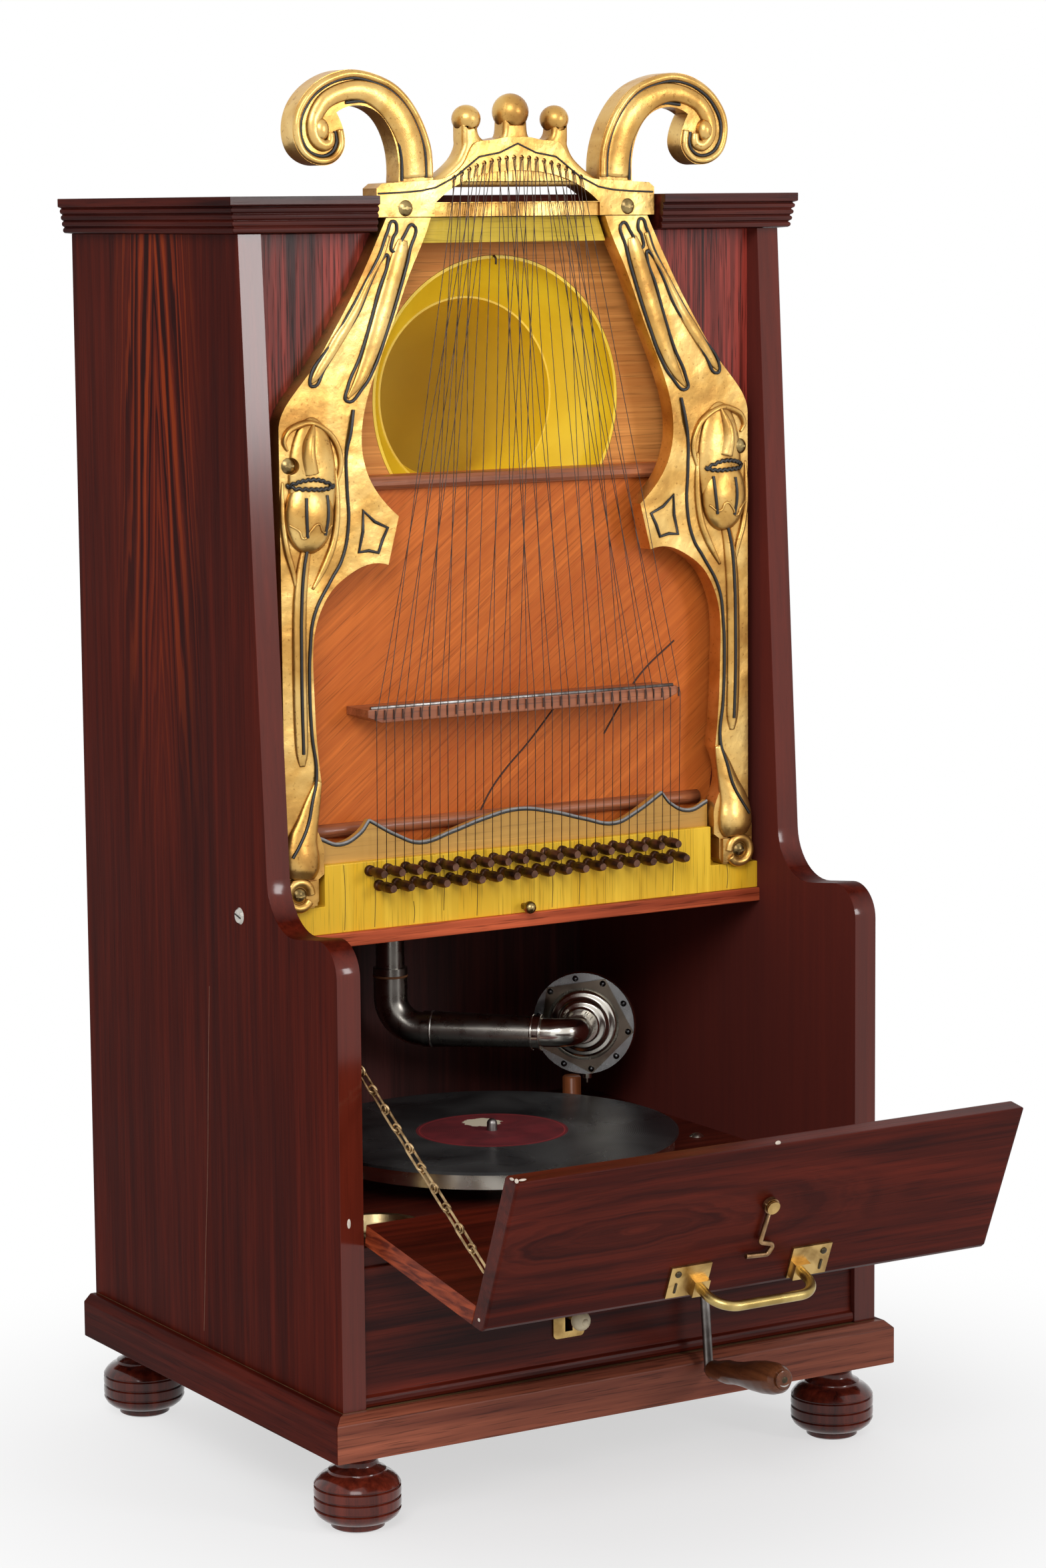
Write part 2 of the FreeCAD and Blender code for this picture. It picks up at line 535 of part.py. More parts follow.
def lyre_arm(label, side):
    def flip(points):
        return [(side * x, z) for x, z in stretched(points)]
    rim = [curve(*flip(outside)), curve(*flip(ankle)), curve(*flip(calf)), curve(*flip(neck))]
    rim += straight(*flip(paw)) + straight(*flip(spur)) + straight(*flip([neck[-1], outside[0]]))
    plate = Part.Face(Part.Wire(Part.sortEdges(rim)[0])).extrude(Vector(0, arm_thick, 0))
    plate.translate(Vector(0, size("arm_front"), 0))
    stretch = FreeCAD.Matrix()
    stretch.scale(17, 6, 40)
    ball = Part.makeSphere(1).transformGeometry(stretch)
    ball.translate(Vector(side * bud_spot[0], size("arm_front"), bud_spot[1]))
    bud_corner = Vector(side * bud_spot[0] - 30, size("arm_front") - 8, bud_spot[1] - 45)
    plate = plate.fuse(ball.common(Part.makeBox(60, 12, 90, bud_corner)))
    paw_pad = Part.makeBox(23, 3, 16, Vector(side * pad_spot[0] - 11.5, size("arm_front") - 2, pad_spot[1]))
    plate = plate.fuse(paw_pad)
    for across, height, front in screw_spots[1:]:
        spot = Vector(side * across, front - 7, height)
        plate = plate.cut(Part.makeCylinder(2.3, 16, spot, Vector(0, 1, 0)))
        plate = plate.cut(Part.makeCylinder(5.5, 7, spot, Vector(0, 1, 0)))
    return shaped(label, plate.removeSplitter())


lyre_arm_right = lyre_arm("lyre_arm_right", 1)
lyre_arm_left = lyre_arm("lyre_arm_left", -1)

# Round head screws of the lyre and the catch stud under the pin block
heads = []
for across, height, front in screw_spots:
    for side in (-1, 1):
        spot = Vector(side * across, front, height)
        head_box = Part.makeBox(14, 2.4, 14, spot - Vector(7, 2.4, 7))
        dome = Part.makeSphere(6.6, spot + Vector(0, 4.1, 0)).common(head_box)
        slot = Part.makeBox(12, 1.0, 1.2, spot - Vector(6, 2.6, 0.6))
        shank = Part.makeCylinder(2.2, 8, spot, Vector(0, 1, 0))
        heads.append(dome.cut(slot).fuse(shank))
stud_z = size("shelf_foot") + size("shelf_thickness") + 4.6
stud = Part.makeCylinder(2.2, 8, Vector(0, size("block_front") - 8, stud_z), Vector(0, 1, 0))
heads.append(stud.fuse(Part.makeSphere(4.2, Vector(0, size("block_front") - 8, stud_z))))
brass_screws = shaped("brass_screws", Part.makeCompound(heads))

# Shelf between the two compartments, bored for the horn socket
shelf = board("shelf", ("-(" + inner + ")", "shelf_front", "shelf_foot"),
              ("2 * (" + inner + ")", "back_face - back_thickness - shelf_front", "shelf_thickness"))
socket_hole = round_bar("socket_hole", "pipe_radius + 3.6", "shelf_thickness",
                        ("arm_pivot_x", "arm_pivot_y", "shelf_foot"))
shelf_board = joined("Cut", "shelf_board", shelf, socket_hole)

# Motor board with the spindle hole and the seat of the needle dish
deck = board("deck", ("-(" + inner + ")", "motor_board_front", "motor_board_foot"),
             ("2 * (" + inner + ")", "back_face - back_thickness - motor_board_front", "motor_board_thickness"))
spindle_hole = round_bar("spindle_hole", "spindle_radius + 2", "motor_board_thickness",
                         ("0", "spindle_y", "motor_board_foot"))
dish_hole = round_bar("dish_hole", "dish_radius - 4", "motor_board_thickness",
                      ("dish_x", "dish_y", "motor_board_foot"))
motor_board = joined("Cut", "motor_board", joined("Cut", "deck_cut", deck, spindle_hole), dish_hole)
deck_top = "motor_board_foot + motor_board_thickness"
needle_dish = turned("needle_dish", [("0", "-10.5"), ("dish_radius - 12", "-9"), ("dish_radius - 6", "-4"),
                                     ("dish_radius - 4.4", "0"), ("dish_radius", "0"), ("dish_radius", "1.2"),
                                     ("dish_radius - 1", "2"), ("dish_radius - 5.2", "2"),
                                     ("dish_radius - 7.4", "-3.4"), ("dish_radius - 12.6", "-7.8"), ("0", "-9.2")],
                     ("dish_x", "dish_y", deck_top))
deck_z = size("motor_board_foot") + size("motor_board_thickness")
heads = []
for across in (22 - size("harp_half"), size("harp_half") - 22):
    for along in (70, 236):
        spot = Vector(across, along, deck_z)
        head_box = Part.makeBox(14, 14, 2.4, spot - Vector(7, 7, 0))
        dome = Part.makeSphere(6.6, spot - Vector(0, 0, 4.1)).common(head_box)
        heads.append(dome.cut(Part.makeBox(12, 1.2, 1.0, spot + Vector(-6, -0.6, 1.6))))
board_screws = shaped("board_screws", Part.makeCompound(heads))

# Lower front board with a bead along its foot, the crank hole and the lever slot
bead = [("lower_thickness", "0"), ("lower_thickness", "motor_board_foot - cabinet_bottom"),
        ("0", "motor_board_foot - cabinet_bottom"), ("0", "8"), ("-2.4", "7"), ("-3.2", "5"), ("-3.2", "3"),
        ("-2.4", "1"), ("-1", "0")]
lower = padded("lower", "YZ_Plane", bead, "2 * (" + inner + ")",
               ("-(" + inner + ")", "lower_front", "cabinet_bottom"))
crank_hole = round_bar("crank_hole", "crank_radius + 0.08", "lower_thickness + 2",
                       ("crank_x", "lower_front - 1", "crank_z"), back_turn)
lever_slot = board("lever_slot", ("lever_x - 3", "lower_front - 1", "lever_z - 14"),
                   ("6", "lower_thickness + 2", "28"))
lower_cut = joined("Cut", "lower_cut", lower, crank_hole)
lower_front_panel = joined("Cut", "lower_front_panel", lower_cut, lever_slot)

# Lever fittings: escutcheon with a slot, and the bracket and pin inside
front_y = size("lower_front")
lever_x = size("lever_x")
lever_z = size("lever_z")
plate = Part.makeBox(23, 1.2, 38, Vector(lever_x - 11.5, front_y - 1.2, lever_z - 14))
corners = [edge for edge in plate.Edges if edge.BoundBox.YLength > 1 and edge.BoundBox.ZLength < 0.1]
plate = plate.makeFillet(3, corners)
plate = plate.cut(Part.makeBox(5.6, 3, 20, Vector(lever_x - 2.8, front_y - 2, lever_z - 10)))
hang_y = front_y + size("lower_thickness")
bracket = Part.makeBox(18, 16, 12, Vector(lever_x - 9, hang_y, lever_z - 6))
bracket = bracket.cut(Part.makeBox(11, 16, 14, Vector(lever_x - 5.5, hang_y, lever_z - 7)))
bracket = bracket.fuse(Part.makeCylinder(1.5, 18, Vector(lever_x - 9, hang_y + 10, lever_z), Vector(1, 0, 0)))
lever_fittings = shaped("lever_fittings", Part.makeCompound([plate, bracket]))
rod_length = 26 + size("lower_thickness")
rod = Part.makeCylinder(2, rod_length, Vector(lever_x, hang_y + 10, lever_z), Vector(0, -1, 0))
rod = rod.fuse(Part.makeCylinder(4, 10, Vector(lever_x - 5, hang_y + 10, lever_z), Vector(1, 0, 0)))
rod = rod.fuse(Part.makeSphere(5.5, Vector(lever_x, front_y - 15, lever_z)))
rod = rod.cut(Part.makeCylinder(1.56, 12, Vector(lever_x - 6, hang_y + 10, lever_z), Vector(1, 0, 0)))
start_lever = shaped("start_lever", rod)

# Folding flap: floor leaf and front leaf glued at an obtuse angle, shown open
slope = FreeCAD.Rotation(Vector(1, 0, 0), size("flap_slope"))
hinge = Vector(0, size("hinge_y"), size("hinge_z"))
flap_base = ("-flap_half", "hinge_y", "hinge_z")
top_edge = "hinge_drop + flap_thickness"
flap_floor = padded("flap_floor", "YZ_Plane", [("0", "hinge_drop"), ("0", top_edge), ("-flap_depth", top_edge),
                                               ("flap_thickness * flap_lean - flap_depth", "hinge_drop")],
                    "2 * flap_half", flap_base, slope)
flap_front = padded("flap_front", "YZ_Plane",
                    [("flap_thickness * flap_lean - flap_depth", "hinge_drop"), ("-flap_depth", top_edge),
                     ("-flap_depth - (flap_height - flap_thickness) * flap_lean", "hinge_drop + flap_height"),
                     ("-flap_depth - flap_lap - flap_height * flap_lean", "hinge_drop + flap_height"),
                     ("-flap_depth - flap_lap - 3 * flap_lean", "hinge_drop + 3"),
                     ("2 - flap_depth - flap_lap", "hinge_drop")],
                    "2 * flap_half", flap_base, slope)

# Butt hinges: leaves and outer knuckles on the motor board, middle knuckle and pin on the flap
fixed = []
moving = []
knuckle = size("knuckle_radius")
for place_x in (-size("hinge_place"), size("hinge_place")):
    board_y = size("motor_board_front")
    leaf = Part.makeBox(40, 1.6, 12.2, Vector(place_x - 20, board_y - 1.6, size("motor_board_foot")))
    ears = []
    for start in (-20, 7.2):
        ear = Part.makeCylinder(knuckle, 12.8, Vector(place_x + start, hinge.y, hinge.z), Vector(1, 0, 0))
        web = Part.makeBox(12.8, board_y - hinge.y, 1.6, Vector(place_x + start, hinge.y, hinge.z - 1.9))
        ears.append(ear.fuse(web))
    leaf = leaf.fuse(ears[0]).fuse(ears[1])
    leaf = leaf.cut(Part.makeCylinder(1.45, 42, Vector(place_x - 21, hinge.y, hinge.z), Vector(1, 0, 0)))
    middle_start = Vector(place_x - 7.2, hinge.y, hinge.z)
    leaf = leaf.cut(Part.makeCylinder(knuckle + 0.3, 14.4, middle_start, Vector(1, 0, 0)))
    fixed.append(leaf)
    barrel = Part.makeCylinder(knuckle, 13.8, Vector(place_x - 6.9, 0, 0), Vector(1, 0, 0))
    barrel = barrel.fuse(Part.makeBox(13.8, 8, 1.4, Vector(place_x - 6.9, -8, size("hinge_drop") - 1.4)))
    barrel = barrel.fuse(Part.makeBox(40, 20, 1.4, Vector(place_x - 20, -25, size("hinge_drop") - 1.4)))
    barrel = barrel.fuse(Part.makeCylinder(1.4, 40, Vector(place_x - 20, 0, 0), Vector(1, 0, 0)))
    moving.append(barrel)
hinge_leaves_fixed = shaped("hinge_leaves_fixed", Part.makeCompound(fixed))
hinge_leaves_moving = shaped("hinge_leaves_moving", Part.makeCompound(moving))
hinge_leaves_moving.Placement = FreeCAD.Placement(hinge, slope)

# Frame on the outer face of the front leaf: across, up the face, out of the face
lean_angle = math.degrees(math.atan(size("flap_lean")))
face_turn = FreeCAD.Rotation(Vector(1, 0, 0), 90 + size("flap_slope") + lean_angle)
face_foot = slope.multVec(Vector(0, -size("flap_depth") - size("flap_lap"), size("hinge_drop"))) + hinge
leaf_face = FreeCAD.Placement(face_foot, face_turn)

# Brass plates and bosses of the handle, with the stud of the hook
half_grip = size("handle_half")
hook_up = size("hook_height")
fittings = []
for side in (-1, 1):
    start = -59 if side < 0 else 30
    plate = Part.makeBox(29, 22, 1.6, Vector(start, 4, 0))
    boss = Part.makeBox(11, 11, 4.4, Vector(side * half_grip - 5.5, 5, 1.6))
    fittings.append(plate.fuse(boss))
hook_stud = Part.makeCylinder(2.5, 5, Vector(2, hook_up, 0))
fittings.append(hook_stud.fuse(Part.makeCylinder(4.4, 1.6, Vector(2, hook_up, 5))))
flap_fittings = shaped("flap_fittings", Part.makeCompound(fittings))
flap_fittings.Placement = leaf_face
grip_out = size("handle_reach")
bail = route([Vector(-half_grip, 10.5, 6), Vector(-half_grip, 10.5, grip_out),
              Vector(half_grip, 10.5, grip_out), Vector(half_grip, 10.5, 6)], [15, 15])
flap_handle = shaped("flap_handle", swept(bail, 3.2))
flap_handle.Placement = leaf_face
hook_path = route([Vector(2, hook_up - 4.6, 3), Vector(1, hook_up - 27, 3), Vector(12, hook_up - 30, 3),
                   Vector(9, hook_up - size("hook_length"), 3),
                   Vector(-7, hook_up - size("hook_length") + 1, 3)], [2.5, 2.8, 2.4])
eye = Part.makeCylinder(5.2, 3, Vector(2, hook_up, 1.5))
eye = eye.cut(Part.makeCylinder(2.58, 3, Vector(2, hook_up, 1.5)))
hook_rod = swept(hook_path, 1.6).cut(Part.makeCylinder(2.58, 8, Vector(2, hook_up, -1)))
flap_hook = shaped("flap_hook", eye.fuse(hook_rod))
flap_hook.Placement = leaf_face

# Stay chain of long brass links from the left cheek to the front leaf
cheek_x = -(size("cabinet_width") / 2 - size("side_thickness"))
chain_x = cheek_x + 4.2
low_y = -size("flap_depth") - (36 - size("flap_thickness")) * size("flap_lean") + 3.2
chain_low = slope.multVec(Vector(0, low_y, size("hinge_drop") + 36)) + hinge
chain_low.x = chain_x
links = 11
run_down = Vector(0, 0.8437, 0.5368)
wire = size("chain_wire")
pitch = size("chain_pitch")
ring_radius = 2.3
half_link = pitch / 2 + wire + 0.15
chain = []
for link in range(links):
    centre = chain_low + run_down * (half_link - wire + pitch * link)
    across = Vector(1, 0, 0) if link % 2 else run_down.cross(Vector(1, 0, 0))
    near = centre - run_down * (half_link - ring_radius)
    far = centre + run_down * (half_link - ring_radius)
    beside = across * ring_radius
    bow = run_down * ring_radius
    loop = [Part.makeLine(near + beside, far + beside), Part.Arc(far + beside, far + bow, far - beside).toShape(),
            Part.makeLine(far - beside, near - beside), Part.Arc(near - beside, near - bow, near + beside).toShape()]
    chain.append(swept(Part.Wire(loop), wire))
chain_high = chain_low + run_down * (half_link - wire + pitch * (links - 1) + half_link - wire - ring_radius)
chain.append(Part.makeCylinder(1.0, 7, Vector(cheek_x, chain_high.y, chain_high.z), Vector(1, 0, 0)))
stay_chain = shaped("stay_chain", Part.makeCompound(chain))

# Turntable, record and the spindle with its pinion and governor wheel
centre = (0, size("spindle_y"))
turntable = turned("turntable", [("3.56", "0"), ("14", "0"), ("14", "7"), ("turntable_radius - 3", "7"),
                                 ("turntable_radius - 3", "0"), ("turntable_radius", "0"),
                                 ("turntable_radius", "turntable_height"), ("3.56", "turntable_height")],
                   ("0", "spindle_y", "turntable_foot"))
record_disc = turned("record_disc", [("3.6", "0"), ("record_radius", "0"),
                                     ("record_radius", "record_thickness"), ("3.6", "record_thickness")],
                     ("0", "spindle_y", "turntable_foot + turntable_height"))
module = size("gear_module")
wheel_count = int(size("wheel_teeth"))
pinion_count = int(size("pinion_teeth"))
apart = module * (wheel_count + pinion_count) / 2
barrel_axis = (size("barrel_x"), size("barrel_y"))
span_x = barrel_axis[0] - centre[0]
span_y = barrel_axis[1] - centre[1]
span = math.hypot(span_x, span_y)
lift = math.sqrt(apart ** 2 - span ** 2 / 4)
middle_axis = (centre[0] + span_x / 2 - span_y / span * lift, centre[1] + span_y / 2 + span_x / span * lift)
governor_axis = (centre[0] - 0.8 * apart, centre[1] + 0.6 * apart)


def bearing(first, second):
    return math.atan2(second[1] - first[1], second[0] - first[0])


def meshed(first, second):
    return bearing(second, first) + math.pi / pinion_count


spindle_shape = upright(size("spindle_radius"), 84.5, size("turntable_foot"), centre)
spindle_shape = spindle_shape.fuse(upright(3.5, size("turntable_foot"), size("spindle_top") - 3.5, centre))
tip = Vector(centre[0], centre[1], size("spindle_top") - 3.5)
spindle_shape = spindle_shape.fuse(Part.makeSphere(3.5, tip))
spindle_shape = spindle_shape.fuse(gear(pinion_count, module, 116, 8, centre, meshed(middle_axis, centre)))
spindle_shape = spindle_shape.fuse(gear(wheel_count, module, 98, 4, centre, bearing(centre, governor_axis)))
spindle = shaped("spindle", spindle_shape)

# Intermediate wheel, governor, spring barrel with mainspring, and winding arbor
middle_shape = upright(3, 84.5, 160.5, middle_axis)
small = gear(pinion_count, module, 89, 8, middle_axis, meshed(barrel_axis, middle_axis))
large = gear(wheel_count, module, 118, 4, middle_axis, bearing(middle_axis, centre))
middle_shape = middle_shape.fuse(small).fuse(large)
intermediate_wheel = shaped("intermediate_wheel", middle_shape)
governor_shape = upright(2.5, 84.5, 160.5, governor_axis)
small = gear(pinion_count, module, 96, 8, governor_axis, meshed(centre, governor_axis))
governor_shape = governor_shape.fuse(small)
governor_shape = governor_shape.fuse(upright(14, 118, 121, governor_axis))
governor_shape = governor_shape.fuse(upright(14, 149, 151, governor_axis))
for arm in range(3):
    strip = Part.makeBox(1, 5, 30, Vector(11, -2.5, 120)).fuse(Part.makeSphere(5.5, Vector(15, 0, 135)))
    strip.rotate(Vector(0, 0, 0), Vector(0, 0, 1), 120 * arm)
    strip.translate(Vector(governor_axis[0], governor_axis[1], 0))
    governor_shape = governor_shape.fuse(strip)
governor = shaped("governor", governor_shape)
drum = size("barrel_radius")
barrel_shape = gear(wheel_count, module, 91, 4, barrel_axis, bearing(barrel_axis, middle_axis))
wall = upright(drum, 95, 115, barrel_axis).cut(upright(drum - 2, 95, 113, barrel_axis))
barrel_shape = barrel_shape.fuse(wall)
barrel_shape = barrel_shape.cut(upright(4.06, 90, 116, barrel_axis))
spring_barrel = shaped("spring_barrel", barrel_shape)
turns = 9
start_radius = 4.3
step_out = (drum - 3.1 - start_radius) / turns
inner_line = []
outer_line = []
for step in range(turns * 16 + 1):
    angle = 2 * math.pi * step / 16
    reach_now = start_radius + step_out * step / 16
    spoke = Vector(math.cos(angle), math.sin(angle), 0)
    inner_line.append(spoke * reach_now)
    outer_line.append(spoke * (reach_now + 0.8))
inner_curve = Part.BSplineCurve()
inner_curve.interpolate(inner_line)
outer_curve = Part.BSplineCurve()
outer_curve.interpolate(outer_line)
band = [inner_curve.toShape(), Part.makeLine(inner_line[-1], outer_line[-1]), outer_curve.toShape(),
        Part.makeLine(outer_line[0], inner_line[0])]
coil_solid = Part.Face(Part.Wire(Part.sortEdges(band)[0])).extrude(Vector(0, 0, 14))
coil_solid.translate(Vector(barrel_axis[0], barrel_axis[1], 97))
mainspring = shaped("mainspring", coil_solid)
crown_count = int(size("crown_teeth"))
crown_radius = module * crown_count / 2
axle_z = size("crank_z")
arbor_shape = upright(4, 84.5, 160.5, barrel_axis)
arbor_shape = arbor_shape.fuse(upright(crown_radius + 3, axle_z - 17.5, axle_z - 14, barrel_axis))
for tooth in range(crown_count):
    block = Part.makeBox(6, 1.5, 6.6, Vector(crown_radius - 3, -0.75, axle_z - 14.4))
    block.rotate(Vector(0, 0, 0), Vector(0, 0, 1), (tooth + 0.5) * 360.0 / crown_count - 90)
    block.translate(Vector(barrel_axis[0], barrel_axis[1], 0))
    arbor_shape = arbor_shape.fuse(block)
winding_arbor = shaped("winding_arbor", arbor_shape)

# Motor frame: two plates on pillars, hung under the motor board, with the crank bearing
frame_low = Vector(-73, -55, 84)
frame_shape = Part.makeBox(168, 194, 3, frame_low)
frame_shape = frame_shape.fuse(Part.makeBox(168, 194, 3, frame_low + Vector(0, 0, 74)))
for across in (-66, 88):
    for along in (-48, 132):
        frame_shape = frame_shape.fuse(upright(5, 87, size("motor_board_foot"), (across, along)))
axle_x = size("crank_x")
frame_shape = frame_shape.fuse(Part.makeBox(16, 8, 159 - axle_z + 9, Vector(axle_x - 8, -52, axle_z - 9)))
axle_hole = Part.makeCylinder(size("crank_radius") + 0.08, 10, Vector(axle_x, -53, axle_z), Vector(0, 1, 0))
frame_shape = frame_shape.cut(axle_hole)
for axis, journal in ((centre, 4.06), (barrel_axis, 4.06), (middle_axis, 3.06), (governor_axis, 2.56)):
    frame_shape = frame_shape.cut(upright(journal, 80, 165, axis))
motor_frame = shaped("motor_frame", frame_shape)

# Crank: shaft with its pinion, bent steel arm and grip pin; turned wooden grip
bend_y = size("crank_front")
shaft_start = Vector(axle_x, bend_y + 8, axle_z)
shaft = Part.makeCylinder(size("crank_radius"), -28 - shaft_start.y, shaft_start, Vector(0, 1, 0))
pinion = gear(pinion_count, module, 0, 8, (0, 0), 0)
pinion.rotate(Vector(0, 0, 0), Vector(1, 0, 0), -90)
pinion.translate(Vector(axle_x, barrel_axis[1] - crown_radius - 4, axle_z))
throw_end = Vector(axle_x, bend_y - 7, axle_z - size("crank_throw"))
bent = route([Vector(axle_x, bend_y + 12, axle_z), Vector(axle_x, bend_y, axle_z), throw_end], [8])
tilt = math.radians(size("grip_tilt"))
grip_line = Vector(0, -math.cos(tilt), math.sin(tilt))
grip_span = size("grip_length")
pin_shape = Part.makeCylinder(2.5, grip_span + 5, throw_end, grip_line)
pin_shape = pin_shape.fuse(Part.makeCylinder(4.6, 1.6, throw_end + grip_line * (grip_span + 4.2), grip_line))
crank_shape = shaft.fuse(pinion).fuse(swept(bent, 3)).fuse(pin_shape).fuse(Part.makeSphere(3.4, throw_end))
crank_arm = shaped("crank_arm", crank_shape)
wood = [(0.55, 0), (0.62, 0.03), (0.60, 0.08), (0.68, 0.16), (0.74, 0.24), (0.70, 0.34), (0.76, 0.46),
        (0.92, 0.62), (1.0, 0.76), (0.98, 0.88), (0.86, 0.96), (0.66, 1.0)]
wood = [("grip_radius * %.3f" % girth, "grip_length * %.3f" % along) for girth, along in wood]
wood = [("2.56", "0")] + wood + [("2.56", "grip_length")]
crank_grip = turned("crank_grip", wood)
grip_base = throw_end + grip_line * 4
crank_grip.Placement = FreeCAD.Placement(grip_base, FreeCAD.Rotation(Vector(0, 0, 1), grip_line))

# Tone arm: pipe hung in the socket, elbow and level arm
heading = math.radians(size("arm_swing"))
ahead = Vector(math.cos(heading), math.sin(heading), 0)
beside = Vector(-math.sin(heading), math.cos(heading), 0)
axis_z = size("arm_axis_z")
hub = Vector(pivot.x, pivot.y, axis_z)
pipe = size("pipe_radius")
pipe_top = size("shelf_foot") + 12
arm_end = size("arm_reach")
elbow_path = route([hub + Vector(0, 0, 40), hub, hub + ahead * 30], [22])
arm_shape = upright(pipe, axis_z + 20, pipe_top, pivot).fuse(upright(pipe + 2, axis_z + 38, axis_z + 43, pivot))
arm_shape = arm_shape.fuse(swept(elbow_path, pipe + 1.8))
arm_shape = arm_shape.fuse(Part.makeCone(pipe + 2.8, pipe + 1, arm_end - 24, hub + ahead * 24, ahead))
bore_path = route([hub + Vector(0, 0, pipe_top - axis_z + 1), hub, hub + ahead * (arm_end + 1)], [22])
hollow = swept(bore_path, pipe - 1.5)
tone_arm = shaped("tone_arm", arm_shape.cut(hollow))

# Gooseneck with its spigot, sound box, stylus bar and the wooden rest
neck_start = hub + ahead * arm_end
reach_out = size("box_reach")
turn_out = size("box_offset")
goose_bend = hub + ahead * reach_out
goose = swept(route([neck_start + ahead * 4, goose_bend, goose_bend + beside * turn_out], [15]), pipe)
goose = goose.fuse(Part.makeCylinder(pipe + 2, 7, neck_start + ahead * 0.3, ahead))
goose = goose.fuse(Part.makeCylinder(pipe - 1.58, 12, neck_start - ahead * 10, ahead))
gooseneck = shaped("gooseneck", goose)
box_profile = [("0", "0"), ("12", "0"), ("12", "3"), ("17", "4"), ("18.5", "7"), ("23", "8"), ("25", "11.5"),
               ("box_radius", "12"), ("box_radius", "17.5"), ("box_radius - 5", "17.5"),
               ("box_radius - 5", "15.5"), ("0", "15.5")]
box_body = turned("box_body", box_profile)
document.recompute()
box_shape = box_body.Shape.copy()
for screw in range(9):
    angle = math.radians(40 * screw)
    ring = size("box_radius") - 4
    rim_point = Vector(ring * math.cos(angle), ring * math.sin(angle), 10)
    box_shape = box_shape.fuse(Part.makeCylinder(2, 3, rim_point))
sound_box = shaped("sound_box", box_shape)
box_centre = hub + ahead * reach_out + beside * turn_out
sound_box.Placement = FreeCAD.Placement(box_centre, FreeCAD.Rotation(Vector(0, 0, 1), beside))
needle_line = box_centre + beside * 22
bar_path = route([box_centre + beside * 15.6, needle_line, needle_line - Vector(0, 0, 34)], [4])
bar_shape = swept(bar_path, 1.6)
bar_shape = bar_shape.fuse(Part.makeCylinder(3.2, 13, needle_line - Vector(0, 0, 41)))
bar_shape = bar_shape.fuse(Part.makeCylinder(0.7, 5, needle_line - Vector(0, 0, 44.6)))
bar_shape = bar_shape.fuse(Part.makeCylinder(1.5, 9, needle_line - Vector(0, 0, 37), beside))
foot_block = Part.makeBox(8, 6.2, 5, Vector(-4, 0, 0))
foot_block.rotate(Vector(0, 0, 0), Vector(0, 0, 1), size("arm_swing"))
foot_block.translate(box_centre + beside * 17.5 - Vector(0, 0, size("box_radius")))
stylus_bar = shaped("stylus_bar", bar_shape.fuse(foot_block))
rest_spot = hub + ahead * (reach_out - 8) + beside * (turn_out + 6)
rest = [("0", "0"), ("8.5", "0"), ("8.5", "3"), ("6.5", "4"), ("6.5", "rest_height - 1"),
        ("5.5", "rest_height"), ("0", "rest_height")]
sound_box_rest = turned("sound_box_rest", rest)
sound_box_rest.Placement = FreeCAD.Placement(Vector(rest_spot.x, rest_spot.y, deck_z), FreeCAD.Rotation())
document.recompute()

# One file for each piece of the assembly
pieces = [side_panel_left, side_panel_right, back_panel, bottom_board, top_board, cornice_left, cornice_right,
          cornice_front_left, cornice_front_right, plinth_left, plinth_right, plinth_front, bun_feet, front_panel,
          hitch_beam, horn_baffle, horn_mouth, horn_body, harp_soundboard, soundboard_capping, string_bridge,
          pin_block, skirt_board, tuning_pins, harp_strings, lyre_crown, lyre_arm_left, lyre_arm_right, brass_screws,
          shelf_board, motor_board, board_screws, needle_dish, lower_front_panel, lever_fittings, start_lever,
          flap_floor, flap_front, hinge_leaves_fixed, hinge_leaves_moving, flap_fittings, flap_handle, flap_hook,
          stay_chain, turntable, record_disc, spindle, intermediate_wheel, governor, spring_barrel, mainspring,
          winding_arbor, motor_frame, crank_arm, crank_grip, tone_arm, gooseneck, sound_box, stylus_bar,
          sound_box_rest]
for item in document.Objects:
    if "Invalid" in item.State or "Error" in item.State:
        raise RuntimeError("not rebuilt: " + item.Label)
for piece in pieces:
    if piece.Shape.isNull() or not piece.Shape.isValid():
        raise RuntimeError("bad shape: " + piece.Label)
    piece.Shape.exportStep("parts/" + piece.Label + ".step")
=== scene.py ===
import bpy, bmesh, math
from mathutils import Matrix, Vector


